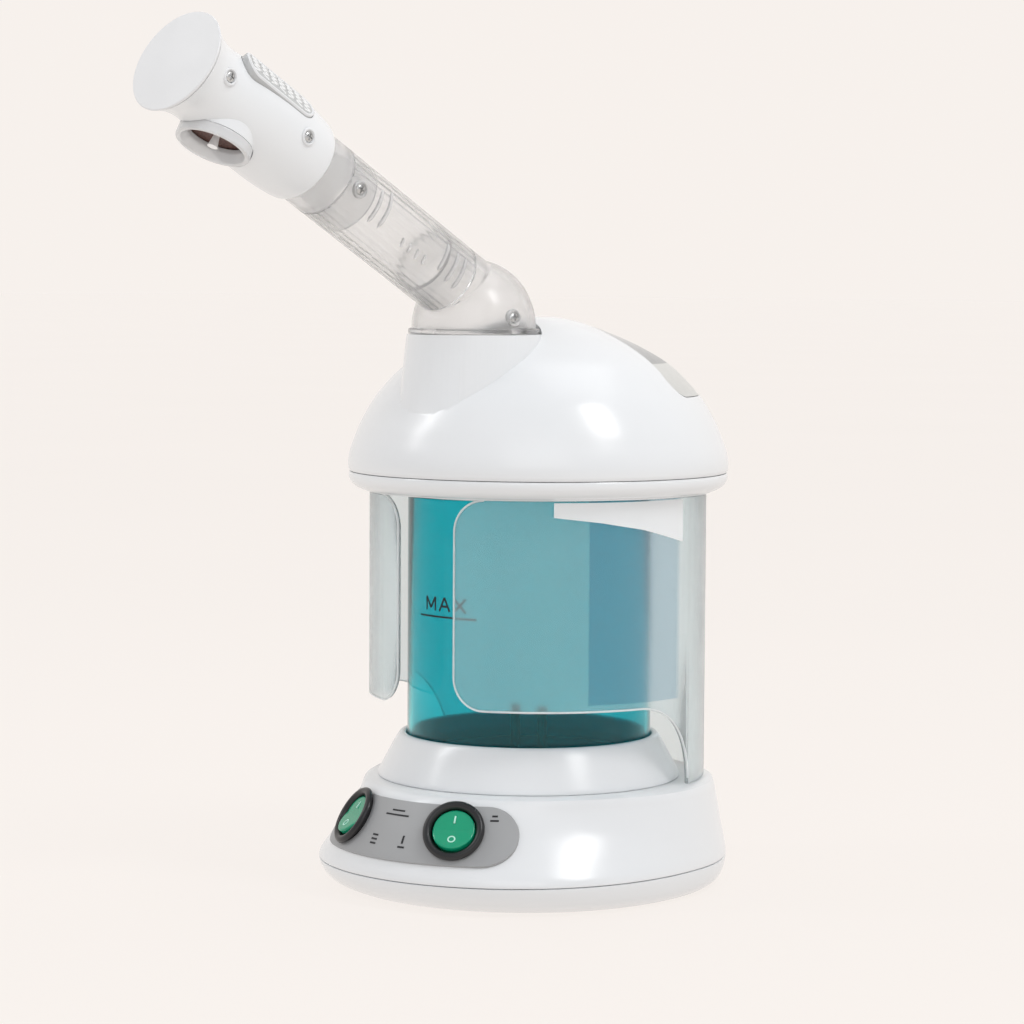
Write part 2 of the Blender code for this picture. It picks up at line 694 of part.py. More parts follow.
def make_nozzle(finish, arm):
    solid = ((0.0, NOZZLE_FROM),) + NOZZLE_PROFILE + ((0.0, NOZZLE_TO),)
    nozzle = turned("nozzle_shell", solid, finish, MID_ROUND, arm)
    outlet = outlet_frame(arm)
    boolean(nozzle, hide_cutter(rod("add_outlet", OUTLET_R, 0.0, OUTLET_DROP, None, 28, outlet)), "UNION")
    cut(nozzle, rod("cut_nozzle_bore", NOZZLE_BORE, NOZZLE_FROM - 4.0, NOZZLE_TO + 4.0, None, MID_ROUND, arm))
    cut(nozzle, rod("cut_outlet", OUTLET_R - OUTLET_WALL, 2.0, 40.0, None, 28, outlet))
    cut(nozzle, rod("cut_lip_seat", OUTLET_R + GAP, OUTLET_DROP, 41.0, None, 28, outlet))
    return nozzle


def make_nozzle_fittings(white, clear, brown, arm):
    outlet = outlet_frame(arm)
    bore = OUTLET_R - OUTLET_WALL - GAP
    inner = bore - OUTLET_BARREL
    barrel_top = OUTLET_DROP - 1.6
    lip = (
        (inner, barrel_top), (bore, barrel_top), (bore, OUTLET_DROP + GAP), (OUTLET_R, OUTLET_DROP + GAP),
        (OUTLET_R, LIP_END - 0.8), (OUTLET_R - 0.9, LIP_END), (OUTLET_R - 1.9, LIP_END - 0.3), (inner, OUTLET_DROP),
    )
    turned("outlet_ring", lip, clear, 28, outlet)
    rod("outlet_grille", bore, barrel_top - GAP - GRILLE_THICKNESS, barrel_top - GAP, brown, 28, outlet)
    plug = NOZZLE_BORE - GAP
    cap = (
        (0.0, NOZZLE_TO - CAP_PLUG), (plug, NOZZLE_TO - CAP_PLUG), (plug, NOZZLE_TO + GAP),
        (CAP_R - 1.0, NOZZLE_TO + GAP), (CAP_R, CAP_END - 0.6), (CAP_R - 0.4, CAP_END), (0.0, CAP_END),
    )
    turned("end_cap", cap, white, MID_ROUND, arm)


def pill_outline(length, width, steps=8):
    """Points round a pill that lies along Z, as (x, z)."""
    half = width / 2
    run = length / 2 - half
    ends = []
    for middle, start in ((run, -math.pi / 2), (-run, math.pi / 2)):
        for i in range(steps + 1):
            t = start + math.pi * i / steps
            ends.append((half * math.sin(t), middle + half * math.cos(t)))
    return ends


def pill_block(name, grow, low, high, finish, place):
    outline = pill_outline(WINDOW_LENGTH + 2 * grow, WINDOW_WIDTH + 2 * grow)
    return skinned(name, [[(x, y, z) for x, z in outline] for y in (low, high)], finish, place=place)


def make_window(nozzle, finish, arm):
    """A long translucent window let into the upper right side of the nozzle."""
    place = arm @ moved(0, 0, WINDOW_AT) @ Matrix.Rotation(math.radians(WINDOW_TURN - 90.0), 4, "Z")
    cut(nozzle, pill_block("cut_window", GAP, 9.0, 26.0, None, place))
    window = pill_block("nozzle_window", 0.0, WINDOW_BOTTOM, WINDOW_TOP, finish, place)
    rounding = window.modifiers.new("rounding", "BEVEL")
    rounding.width = 0.5 * MM
    rounding.limit_method = "ANGLE"


def make_screw(name, place, finish, shell, head=2.7, length=6.0):
    """A pan-head screw whose Z points out of the shell it holds, and the hole it sits in."""
    hole = (
        (0.0, -length - 2.0), (1.5, -length - 2.0), (1.5, -0.6), (head + GAP, -0.6), (head + GAP, 6.0), (0.0, 6.0),
    )
    cut(shell, turned(f"cut_{name}", hole, None, 12, place))
    body = (
        (0.0, -length), (1.2, -length), (1.2, -0.3), (head, -0.3), (head, 0.6), (head - 0.8, 1.2),
        (0.0, 1.2),
    )
    turned(name, body, finish, 12, place)


def on_tube(arm, along, turn, radius):
    """Frame on a tube's surface, Z outwards, at a turn in degrees from level towards the upper side."""
    spin = Matrix.Rotation(math.radians(turn), 4, "Z")
    return arm @ moved(0, 0, along) @ spin @ moved(radius, 0, 0) @ Matrix.Rotation(math.radians(90), 4, "Y")


def on_elbow(yaw, rise):
    """Frame on the elbow's cap, Z outwards, at a turn from the front and a rise in degrees."""
    turn, up = math.radians(yaw), math.radians(rise)
    ray = Vector((math.sin(turn) * math.cos(up), -math.cos(turn) * math.cos(up), math.sin(up)))
    place = ray.to_track_quat("Z", "Y").to_matrix().to_4x4()
    place.translation = (Vector((0, TURRET_Y, ELBOW_Z)) + ray * (ELBOW_R + 0.1)) * MM
    return place


def make_arm_screws(steel, arm, elbow, tube, nozzle):
    make_screw("tube_screw", on_tube(arm, *TUBE_SCREW, TUBE_R), steel, tube, length=1.4)
    for i, length in enumerate((3.4, 1.6)):
        make_screw(f"nozzle_screw_{i + 1}", on_tube(arm, *NOZZLE_SCREWS[i]), steel, nozzle, length=length)
    make_screw("elbow_screw", on_elbow(*ELBOW_SCREW), steel, elbow, length=2.2)


# ---- the whole ----


def make_base(white, grey, black, green, steel, dark, red, board):
    make_pan(white)
    make_feet(dark)
    housing = make_housing(white)
    panel = slab("control_panel", panel_rows(GAP), panel_rows(GAP + 0.9), grey)
    make_switches(panel, housing, black, green)
    make_gland(housing, dark)
    make_collar(white)
    make_heating(steel, dark, red)
    make_electrics(board, dark, black)


def main():
    clear_scene()
    white = material("white_gloss", (0.86, 0.87, 0.88), 0.18)
    grey = material("panel_grey", (0.42, 0.42, 0.43), 0.4)
    black = material("switch_black", (0.02, 0.02, 0.022), 0.35)
    green = material("rocker_green", (0.01, 0.45, 0.25), 0.2)
    steel = material("steel", (0.6, 0.6, 0.6), 0.3, 1.0)
    dark = material("dark_rubber", (0.06, 0.06, 0.06), 0.7)
    red = material("fuse_sleeve", (0.5, 0.08, 0.06), 0.6)
    board = material("circuit_board", (0.03, 0.2, 0.08), 0.5)
    teal = material("jar_teal", (0.02, 0.42, 0.46), 0.08, alpha=0.7)
    frosted = material("guard_frosted", (0.72, 0.82, 0.84), 0.4, alpha=0.5)
    clear = material("arm_translucent", (0.8, 0.8, 0.8), 0.25, alpha=0.7)
    inlay = material("inlay_grey", (0.55, 0.56, 0.56), 0.35)
    seal = material("silicone", (0.75, 0.75, 0.74), 0.6)
    lamp = material("lamp_glass", (0.8, 0.85, 0.95), 0.05, alpha=0.5)
    brown = material("outlet_mesh", (0.12, 0.06, 0.05), 0.5)
    make_base(white, grey, black, green, steel, dark, red, board)
    make_jar(teal)
    make_boiling_dish(steel, dark)
    make_guard(frosted)
    make_dome(white)
    make_inlay(inlay)
    make_tray(white)
    make_gasket(seal)
    make_duct(seal)
    make_lamp(lamp, dark)
    arm = arm_frame()
    elbow = make_elbow(clear, arm)
    tube = make_tube(clear, arm)
    make_coupling(clear, arm)
    nozzle = make_nozzle(white, arm)
    make_nozzle_fittings(white, clear, brown, arm)
    make_window(nozzle, inlay, arm)
    make_arm_screws(steel, arm, elbow, tube, nozzle)


main()
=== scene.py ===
"""Looks of the tabletop facial steamer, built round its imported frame.

Lengths in profiles are millimetres in the frame's own axes (origin under the dome, -Y the front, +Z up);
MM turns them into metres. Every piece is made where it belongs and rides on its body.
"""

import json
import math
import bmesh
import bpy
from mathutils import Matrix, Vector


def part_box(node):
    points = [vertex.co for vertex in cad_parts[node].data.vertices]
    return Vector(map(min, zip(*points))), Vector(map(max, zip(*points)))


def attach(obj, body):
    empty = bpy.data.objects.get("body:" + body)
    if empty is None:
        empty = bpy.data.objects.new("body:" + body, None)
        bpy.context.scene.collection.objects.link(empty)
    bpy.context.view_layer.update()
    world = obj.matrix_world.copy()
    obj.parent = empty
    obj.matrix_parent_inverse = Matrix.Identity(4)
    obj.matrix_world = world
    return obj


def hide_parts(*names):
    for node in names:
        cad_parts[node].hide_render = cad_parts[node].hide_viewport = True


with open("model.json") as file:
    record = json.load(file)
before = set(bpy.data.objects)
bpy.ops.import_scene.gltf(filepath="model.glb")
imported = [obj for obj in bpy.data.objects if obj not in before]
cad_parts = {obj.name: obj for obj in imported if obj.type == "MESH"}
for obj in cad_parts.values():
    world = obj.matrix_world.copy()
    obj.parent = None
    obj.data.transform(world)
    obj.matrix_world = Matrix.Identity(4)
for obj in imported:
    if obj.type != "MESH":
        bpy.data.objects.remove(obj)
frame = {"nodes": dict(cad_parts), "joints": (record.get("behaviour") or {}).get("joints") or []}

MM = 0.001
UP = Vector((0, 0, 1))
GAP = 0.3
FINE = 144  # segments of the large turned pieces
MEDIUM = 80
SMALL = 36
SIDES = {"left": -1, "right": 1}

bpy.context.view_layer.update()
NODES = frame["nodes"]
JOINTS = {joint["name"]: joint for joint in frame["joints"]}


def low(node):
    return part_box(node)[0] / MM


def high(node):
    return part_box(node)[1] / MM


# ---- sizes read from the frame, in millimetres ----

RIM_R = high("head_tray").x
SEAM_Z = high("head_tray").z
TRAY_LOW = low("head_tray").z
TURRET_Y = JOINTS["arm_swivel"]["pos_m"][1] / MM
TURRET_TOP = JOINTS["arm_swivel"]["pos_m"][2] / MM
INLAY_LOW = low("dome_inlay").z - GAP
INLAY_FRONT = low("dome_inlay").y - GAP
JAR_R = high("water_jar").x
JAR_Y = (low("water_jar").y + high("water_jar").y) / 2
JAR_LOW = low("water_jar").z
JAR_TOP = high("water_jar").z
GUARD_R = high("jar_guard").x
GUARD_TOP = high("jar_guard").z
GUARD_FOOT = low("jar_guard").z
BASE_TOP = high("base_housing").z
SPLIT_Z = low("base_housing").z
COLLAR_R = high("jar_collar").x
COLLAR_TOP = high("jar_collar").z
FLANGE_R = high("elbow").x
ELBOW_FOOT = TURRET_TOP + GAP

# ---- shape constants ----

BASE_SECTIONS = (
    # height, side, quarter, front
    (0.0, 79.0, 85.0, 88.0),
    (3.0, 83.0, 91.0, 95.0),
    (8.0, 85.3, 95.0, 100.5),
    (14.0, 86.0, 96.3, 102.0),
    (21.0, 84.8, 91.5, 99.5),
    (27.5, 83.5, 86.8, 96.3),
    (34.0, 82.4, 82.5, 92.8),
    (41.5, 81.0, 78.8, 88.0),
    (45.5, 80.2, 77.6, 85.2),
    (47.4, 79.0, 76.6, 83.0),
    (48.0, 77.0, 75.0, 80.5),
)
QUARTER_ANGLE = 48.7
SIDE_ANGLE = 100.0
BASE_TRIM = 0.12  # keeps the finer outline inside the frame's
WALL = 2.5
JAR_OPENING_R = 40.0  # hole in the housing's top, under the jar
DOME_PROFILE = (
    (85.0, 184.5), (85.3, 188.5), (84.6, 193.0), (82.6, 199.0), (78.7, 208.0), (71.6, 219.5),
    (59.8, 231.7), (46.4, 240.0), (32.6, 246.2), (20.0, 250.7), (10.0, 252.9), (0.0, 253.5),
)
TURRET_R = 29.3
TURRET_FOOT_R = 34.0
TURRET_FOOT_Z = 204.0
SPIGOT_R = 19.4
GUARD_WALL = 1.8
GUARD_LOW = 84.7
GUARD_GAP_HALF = 12.8
GUARD_CORNER = 14.0
BEAD_R = 0.5  # of the guard's pale edge
BEAD_PROUD = 0.12
LEG_FROM = 78.0
LEG_TO = 104.0
ELBOW_R = 27.2
ELBOW_Z = 249.0
ELBOW_HEIGHT = 29.6
ELBOW_WALL = 2.6
FLANGE_TOP = 248.6
SPIGOT_FOOT = 239.0
TUBE_R = 16.5
TUBE_WALL = 1.9
FLUTE_DEPTH = 0.16
TUBE_FROM = 10.0
TUBE_TO = 95.0
NECK_TO = 26.0
SLEEVE_WALL = 1.8
COUPLING_FROM = 78.0
COUPLING_TO = 124.0
NOZZLE_FROM = 109.8
NOZZLE_TO = 187.2
NOZZLE_PROFILE = (
    # radius, distance along the arm
    (17.4, 109.8), (18.4, 111.0), (19.2, 115.0), (19.9, 122.0), (20.2, 131.0), (20.1, 144.0), (19.4, 155.0),
    (18.3, 164.0), (17.6, 170.0), (17.7, 175.0), (18.7, 180.0), (20.2, 184.0), (21.7, 187.2),
)
NOZZLE_BORE = 15.4
CAP_R = 22.82
CAP_END = 189.2
CAP_PLUG = 8.0
OUTLET_AT = 156.0
OUTLET_R = 15.8
OUTLET_WALL = 2.2
OUTLET_DROP = 15.9
OUTLET_BARREL = 1.3
LIP_END = 20.4
WINDOW_AT = 147.5
WINDOW_TURN = 42.0  # degrees from level towards the upper side
WINDOW_LENGTH = 42.0
WINDOW_WIDTH = 14.0
WINDOW_BED_R = 20.1  # the nozzle's radius there
RIBS = (
    # distance along the arm, turn from, turn to
    (76.0, -36.0, 20.0), (70.0, -34.0, 31.0), (30.0, -27.0, 19.5), (23.0, -34.5, 17.0), (17.4, -36.0, 20.0),
)
SLASHES = (55.0, 50.0, 45.0, 40.0)
SLASH_FROM = -35.0
SLASH_TO = -20.0
PANE_FROM = 58.5  # degrees from the front: the blue pane let into the guard, then a paler strip
PANE_TO = 81.2
PANE_PALE_TO = 96.5
PANE_LOW = 87.5
BAND_FROM = 46.5
BAND = ((46.5, 168.6), (61.9, 166.2), (78.2, 162.6), (96.6, 156.5))  # turn and height of its lower edge
BAND_TO = 98.0
BEZEL_R = 13.6
BARREL_R = 11.9
ROCKER_R = 9.3
ROCKER_TOP = 2.5
ROCKER_TILT = 8.0
VALLEY_DEPTH = 1.1  # of the dip across a rocker's face
PANEL_LOW_Z = 20.5
PANEL_HIGH_Z = 44.5
PANEL_HALF = 56.0
SWITCH_Z = 34.0
LEVEL_Z = 122.4
LETTER_WIDTH = 6.4  # degrees round the jar
LETTER_HEIGHT = 6.0
LETTERS = {
    # strokes of each letter, from (across, up) to (across, up)
    "M": (((-0.5, 0), (-0.5, 1)), ((-0.5, 1), (0, 0.2)), ((0, 0.2), (0.5, 1)), ((0.5, 1), (0.5, 0))),
    "A": (((-0.5, 0), (0, 1)), ((0, 1), (0.5, 0)), ((-0.3, 0.35), (0.3, 0.35))),
    "X": (((-0.5, 0), (0.5, 1)), ((-0.5, 1), (0.5, 0))),
}

# ---- materials ----


def shader_of(name):
    made = bpy.data.materials.new(name)
    made.use_nodes = True
    return made, made.node_tree, made.node_tree.nodes["Principled BSDF"]


def object_coords(tree, scale=(1, 1, 1)):
    coords = tree.nodes.new("ShaderNodeTexCoord")
    mapping = tree.nodes.new("ShaderNodeMapping")
    mapping.inputs["Scale"].default_value = scale
    tree.links.new(coords.outputs["Object"], mapping.inputs["Vector"])
    return mapping.outputs["Vector"]


def object_axes(tree):
    """The X, Y and Z of a place in the object's own axes, as sockets."""
    coords = tree.nodes.new("ShaderNodeTexCoord")
    split = tree.nodes.new("ShaderNodeSeparateXYZ")
    tree.links.new(coords.outputs["Object"], split.inputs["Vector"])
    return split.outputs


def noise(tree, vector, scale, detail):
    made = tree.nodes.new("ShaderNodeTexNoise")
    made.inputs["Scale"].default_value = scale
    made.inputs["Detail"].default_value = detail
    tree.links.new(vector, made.inputs["Vector"])
    return made.outputs["Fac"]


def mapped(tree, value, low_out, high_out, low_in=0.1, high_in=0.9):
    """A value carried smoothly from one range to another."""
    made = tree.nodes.new("ShaderNodeMapRange")
    made.interpolation_type = "SMOOTHSTEP"
    made.inputs["From Min"].default_value = low_in
    made.inputs["From Max"].default_value = high_in
    made.inputs["To Min"].default_value = low_out
    made.inputs["To Max"].default_value = high_out
    tree.links.new(value, made.inputs["Value"])
    return made.outputs["Result"]


def feed(tree, socket, value):
    """Links another node's socket to this one, or sets a plain number or colour on it."""
    if hasattr(value, "is_linked"):
        tree.links.new(value, socket)
    else:
        socket.default_value = (*value, 1.0) if isinstance(value, tuple) else value


def mixed_colour(tree, factor, first, second):
    made = tree.nodes.new("ShaderNodeMix")
    made.data_type = "RGBA"
    for socket, value in (("Factor", factor), ("A", first), ("B", second)):
        feed(tree, made.inputs[socket], value)
    return made.outputs["Result"]


def tint(tree, shader, vector, scale, detail, first, second):
    """Base colour that drifts between two tones."""
    drift = mapped(tree, noise(tree, vector, scale, detail), 0.0, 1.0)
    tree.links.new(mixed_colour(tree, drift, first, second), shader.inputs["Base Color"])


def polish(tree, shader, vector, scale, detail, smooth, rough):
    """Roughness that drifts between two values."""
    drift = mapped(tree, noise(tree, vector, scale, detail), smooth, rough)
    tree.links.new(drift, shader.inputs["Roughness"])


def bump(tree, shader, height, strength, distance):
    made = tree.nodes.new("ShaderNodeBump")
    made.inputs["Strength"].default_value = strength
    made.inputs["Distance"].default_value = distance
    tree.links.new(height, made.inputs["Height"])
    tree.links.new(made.outputs["Normal"], shader.inputs["Normal"])


def plastic(name, light, dark, rough, peel=0.05, peel_scale=900.0, coat=0.0):
    """Moulded plastic: a trace of colour drift, uneven polish and a fine surface."""
    made, tree, shader = shader_of(name)
    vector = object_coords(tree)
    tint(tree, shader, vector, 18.0, 4.0, dark, light)
    polish(tree, shader, vector, 55.0, 5.0, rough * 0.82, rough * 1.2)
    bump(tree, shader, noise(tree, vector, peel_scale, 2.0), peel, 0.0002)
    shader.inputs["Coat Weight"].default_value = coat
    shader.inputs["Coat Roughness"].default_value = 0.2
    return made


def see_through(name, light, dark, rough, weight, ior=1.45, frost=0.0, frost_scale=700.0):
    """Clear or frosted plastic; its colour and polish drift a little along the wall."""
    made, tree, shader = shader_of(name)
    vector = object_coords(tree, (1, 1, 0.35))
    tint(tree, shader, vector, 22.0, 3.0, dark, light)
    polish(tree, shader, vector, 60.0, 4.0, rough * 0.8, rough * 1.25)
    shader.inputs["Transmission Weight"].default_value = weight
    shader.inputs["IOR"].default_value = ior
    if frost:
        bump(tree, shader, noise(tree, vector, frost_scale, 3.0), frost, 0.0002)
    return made


def metal(name, light, dark, rough):
    made, tree, shader = shader_of(name)
    vector = object_coords(tree)
    tint(tree, shader, vector, 240.0, 5.0, dark, light)
    polish(tree, shader, vector, 900.0, 3.0, rough * 0.7, rough * 1.3)
    shader.inputs["Metallic"].default_value = 1.0
    bump(tree, shader, noise(tree, object_coords(tree, (1, 1, 14)), 500.0, 2.0), 0.08, 0.0002)
    return made


def height_ramp(tree, stops):
    """A colour by height in millimetres, from (height, colour) stops."""
    first, last = stops[0][0], stops[-1][0]
    share = mapped(tree, object_axes(tree)["Z"], 0.0, 1.0, first * MM, last * MM)
    ramp = tree.nodes.new("ShaderNodeValToRGB")
    ramp.color_ramp.elements.remove(ramp.color_ramp.elements[0])
    for i, (height, colour) in enumerate(stops):
        place = (height - first) / (last - first)
        element = ramp.color_ramp.elements[0] if i == 0 else ramp.color_ramp.elements.new(place)
        element.position = place
        element.color = (*colour, 1.0)
    tree.links.new(share, ramp.inputs["Fac"])
    return ramp.outputs["Color"]


def guard_material():
    """Frosted wall with a steel-blue pane and a paler strip let in by place round the axis."""
    made, tree, shader = shader_of("guard_frosted")
    axes = object_axes(tree)
    turn = math_node(tree, "ARCTAN2", axes["X"], math_node(tree, "MULTIPLY", axes["Y"], -1.0))
    above = math_node(tree, "GREATER_THAN", axes["Z"], PANE_LOW * MM)
    pane = window_mask(tree, turn, PANE_FROM, PANE_TO, above)
    pale = window_mask(tree, turn, PANE_TO, PANE_PALE_TO, above)
    drift = mapped(tree, noise(tree, object_coords(tree, (1, 1, 0.35)), 22.0, 3.0), 0.0, 1.0)
    plain = mixed_colour(tree, drift, (0.88, 0.94, 0.96), (0.91, 0.96, 0.97))
    tinted = mixed_colour(tree, pane, plain, (0.6, 0.72, 0.82))
    tree.links.new(mixed_colour(tree, pale, tinted, (0.64, 0.77, 0.84)), shader.inputs["Base Color"])
    polish(tree, shader, object_coords(tree), 60.0, 4.0, 0.2, 0.25)
    shader.inputs["Transmission Weight"].default_value = 0.88
    shader.inputs["IOR"].default_value = 1.2
    return made


def math_node(tree, operation, first, second):
    made = tree.nodes.new("ShaderNodeMath")
    made.operation = operation
    for socket, value in zip(made.inputs, (first, second)):
        feed(tree, socket, value)
    return made.outputs["Value"]


def window_mask(tree, turn, start, end, above):
    """One between two turns in degrees and above a height, else nought."""
    after = math_node(tree, "GREATER_THAN", turn, math.radians(start))
    before = math_node(tree, "LESS_THAN", turn, math.radians(end))
    return math_node(tree, "MULTIPLY", math_node(tree, "MULTIPLY", after, before), above)


def inlay_painted_shade_material():
    """Silver-grey insert: a paler tile below 232 mm, and above it painted shade of a hollow, darkest at the
    crease and lightening towards the top.
    """
    made, tree, shader = shader_of("dome_inlay_silver_painted_shade")
    # painted shade: the colour drops to dark just above 232 mm and lightens again towards the top
    stops = (
        (218.0, (0.62, 0.63, 0.61)), (231.6, (0.66, 0.67, 0.65)), (232.2, (0.36, 0.37, 0.37)),
        (243.0, (0.46, 0.47, 0.47)), (254.0, (0.6, 0.61, 0.61)),
    )
    tone = height_ramp(tree, stops)
    vector = object_coords(tree)
    grain = mapped(tree, noise(tree, vector, 500.0, 3.0), 0.0, 0.16)
    tree.links.new(mixed_colour(tree, grain, tone, (0.9, 0.9, 0.9)), shader.inputs["Base Color"])
    polish(tree, shader, vector, 80.0, 3.0, 0.26, 0.4)
    bump(tree, shader, noise(tree, vector, 1400.0, 2.0), 0.1, 0.0002)
    shader.inputs["Metallic"].default_value = 0.35
    return made


def mesh_material():
    """Brown woven screen behind the outlet."""
    made, tree, shader = shader_of("outlet_screen")
    vector = object_coords(tree)
    holes = tree.nodes.new("ShaderNodeTexVoronoi")
    holes.inputs["Scale"].default_value = 900.0
    tree.links.new(vector, holes.inputs["Vector"])
    share = mapped(tree, holes.outputs["Distance"], 0.0, 1.0, 0.1, 0.5)
    tone = mixed_colour(tree, share, (0.012, 0.006, 0.005), (0.1, 0.045, 0.035))
    tree.links.new(tone, shader.inputs["Base Color"])
    shader.inputs["Roughness"].default_value = 0.55
    bump(tree, shader, share, 0.6, 0.0004)
    return made


def make_materials():
    return {
        "white": plastic("white_gloss", (0.785, 0.8, 0.812), (0.77, 0.785, 0.797), 0.225, 0.03, 700.0, 0.1),
        "white_satin": plastic("white_satin", (0.74, 0.75, 0.76), (0.71, 0.72, 0.73), 0.42, 0.08, 1200.0),
        "cap": plastic("cap_matt", (0.76, 0.765, 0.77), (0.74, 0.745, 0.75), 0.5, 0.1, 1500.0),
        "panel": plastic("panel_grey", (0.36, 0.365, 0.37), (0.32, 0.325, 0.33), 0.42, 0.14, 1800.0),
        "black": plastic("switch_black", (0.014, 0.014, 0.015), (0.008, 0.008, 0.009), 0.3, 0.08, 1500.0),
        "rubber": plastic("dark_rubber", (0.045, 0.045, 0.046), (0.03, 0.03, 0.031), 0.7, 0.2, 1600.0),
        "dark": plastic("dark_moulding", (0.06, 0.06, 0.062), (0.045, 0.045, 0.047), 0.5, 0.1, 1500.0),
        "ink": plastic("mark_ink", (0.012, 0.012, 0.014), (0.008, 0.008, 0.01), 0.6, 0.1, 1500.0),
        "mark": plastic("switch_mark", (0.5, 0.85, 0.72), (0.45, 0.8, 0.67), 0.35),
        "green": see_through("rocker_green", (0.01, 0.46, 0.24), (0.0, 0.38, 0.2), 0.12, 0.25, 1.5),
        "red": plastic("fuse_sleeve", (0.5, 0.09, 0.06), (0.36, 0.05, 0.04), 0.65, 0.4, 2500.0),
        "board": plastic("circuit_board", (0.03, 0.22, 0.08), (0.02, 0.15, 0.06), 0.4, 0.2, 2000.0),
        "seal": plastic("silicone", (0.74, 0.74, 0.73), (0.66, 0.66, 0.65), 0.6, 0.1, 900.0),
        "steel": metal("stainless", (0.68, 0.68, 0.67), (0.5, 0.5, 0.5), 0.28),
        "burnt": metal("heater_metal", (0.2, 0.19, 0.18), (0.1, 0.09, 0.09), 0.45),
        "jar": see_through("jar_teal", (0.045, 0.73, 0.79), (0.035, 0.67, 0.74), 0.04, 0.96, 1.35),
        "dish": plastic("dish_dark", (0.006, 0.05, 0.06), (0.004, 0.035, 0.045), 0.4, 0.03, 900.0),
        "guard": guard_material(),
        "edge": see_through("edge_pale", (0.96, 0.99, 1.0), (0.92, 0.96, 0.97), 0.15, 0.35, 1.3),
        "band": see_through("band_milky", (0.96, 0.98, 0.99), (0.93, 0.95, 0.96), 0.4, 0.2, 1.25),
        "arm": see_through("arm_clear", (1.0, 1.0, 1.0), (0.985, 0.985, 0.985), 0.21, 0.9, 1.36),
        "sleeve": see_through("sleeve_grey", (0.95, 0.955, 0.96), (0.87, 0.875, 0.88), 0.16, 0.82, 1.42),
        "rib": see_through("rib_clear", (0.97, 0.97, 0.97), (0.93, 0.93, 0.93), 0.08, 0.7, 1.5),
        "lip": see_through("lip_milky", (0.92, 0.93, 0.94), (0.88, 0.89, 0.9), 0.1, 0.35, 1.45),
        "tip": plastic("tip_white", (0.9, 0.9, 0.9), (0.86, 0.86, 0.86), 0.2),
        "lamp": see_through("lamp_quartz", (0.85, 0.9, 0.98), (0.8, 0.86, 0.95), 0.05, 0.9),
        "inlay": inlay_painted_shade_material(),
        "window": see_through(
            "window_silver", (0.66, 0.67, 0.67), (0.58, 0.59, 0.59), 0.22, 0.2, 1.4, 0.2, 500.0
        ),
        # the window ridges' paler colour is painted highlight
        "window_painted_highlight": plastic("window_ridge_painted_highlight", (0.84, 0.85, 0.85), (0.78, 0.79, 0.79), 0.25),
        "screen": mesh_material(),
    }


# ---- mesh helpers ----


def finish_mesh(name, bm, material, place=None, sharp=40.0):
    bmesh.ops.remove_doubles(bm, verts=bm.verts, dist=1e-5)
    bmesh.ops.recalc_face_normals(bm, faces=bm.faces)
    bmesh.ops.scale(bm, vec=(MM, MM, MM), verts=bm.verts)
    mesh = bpy.data.meshes.new(name)
    bm.to_mesh(mesh)
    bm.free()
    if place:
        mesh.transform(place)
    mesh.shade_smooth()
    mesh.set_sharp_from_angle(angle=math.radians(sharp))
    made = bpy.data.objects.new(name, mesh)
    if material:
        mesh.materials.append(material)
    bpy.context.collection.objects.link(made)
    return made


def moved(x, y, z):
    return Matrix.Translation((x * MM, y * MM, z * MM))


def spun(degrees, axis):
    return Matrix.Rotation(math.radians(degrees), 4, axis)


def placed(across, up, out, origin):
    """A place whose X, Y and Z run along three directions, with its origin in metres."""
    place = Matrix((across, up, out)).transposed().to_4x4()
    place.translation = origin
    return place


def around(angle, radius, height, y=0.0):
    """The point at an angle from the front towards +X, a radius and a height."""
    return Vector((radius * math.sin(angle), y - radius * math.cos(angle), height))


def direction(turn, rise=0.0):
    """The way out at a turn in degrees from the front towards +X and a rise above level."""
    side, up = math.radians(turn), math.radians(rise)
    return Vector((math.sin(side) * math.cos(up), -math.cos(side) * math.cos(up), math.sin(up)))


def skinned(name, rings, material, closed=False, place=None, sharp=40.0):
    bm = bmesh.new()
    rows = [[bm.verts.new(point) for point in ring] for ring in rings]
    pairs = list(zip(rows, rows[1:]))
    if closed:
        pairs.append((rows[-1], rows[0]))
    for lower, upper in pairs:
        for i in range(len(lower)):
            j = (i + 1) % len(lower)
            bm.faces.new((lower[i], lower[j], upper[j], upper[i]))
    if not closed:
        bm.faces.new(rows[0])
        bm.faces.new(rows[-1])
    return finish_mesh(name, bm, material, place, sharp)


def circle(radius, height, segments=FINE, y=0.0):
    turns = [math.tau * i / segments for i in range(segments)]
    return [(radius * math.sin(t), y - radius * math.cos(t), height) for t in turns]


def turned(name, profile, material, segments=FINE, place=None):
    """Turns a profile of (radius, height) about Z; it closes on itself unless its ends are on the axis."""
    bm = bmesh.new()
    points = [bm.verts.new((max(radius, 0.0), 0.0, height)) for radius, height in profile]
    edges = [bm.edges.new(pair) for pair in zip(points, points[1:])]
    if profile[0][0] > 0 or profile[-1][0] > 0:
        edges.append(bm.edges.new((points[-1], points[0])))
    bmesh.ops.spin(
        bm, geom=points + edges, axis=(0, 0, 1), cent=(0, 0, 0), angle=math.tau, steps=segments,
        use_merge=True,
    )
    return finish_mesh(name, bm, material, place)


def rounded(profile, radius, steps=4, ends=False):
    """Replaces each corner of a profile by a short curve; a closed profile passes ends=True."""
    count = len(profile)
    made = []
    for i, corner in enumerate(profile):
        if not ends and i in (0, count - 1):
            made.append(corner)
            continue
        here = Vector(corner)
        before = Vector(profile[i - 1]) - here
        after = Vector(profile[(i + 1) % count]) - here
        reach = min(radius, before.length * 0.45, after.length * 0.45)
        start = here + before.normalized() * reach
        end = here + after.normalized() * reach
        for k in range(steps + 1):
            t = k / steps
            made.append(tuple(start * (1 - t) ** 2 + here * 2 * t * (1 - t) + end * t * t))
    return made


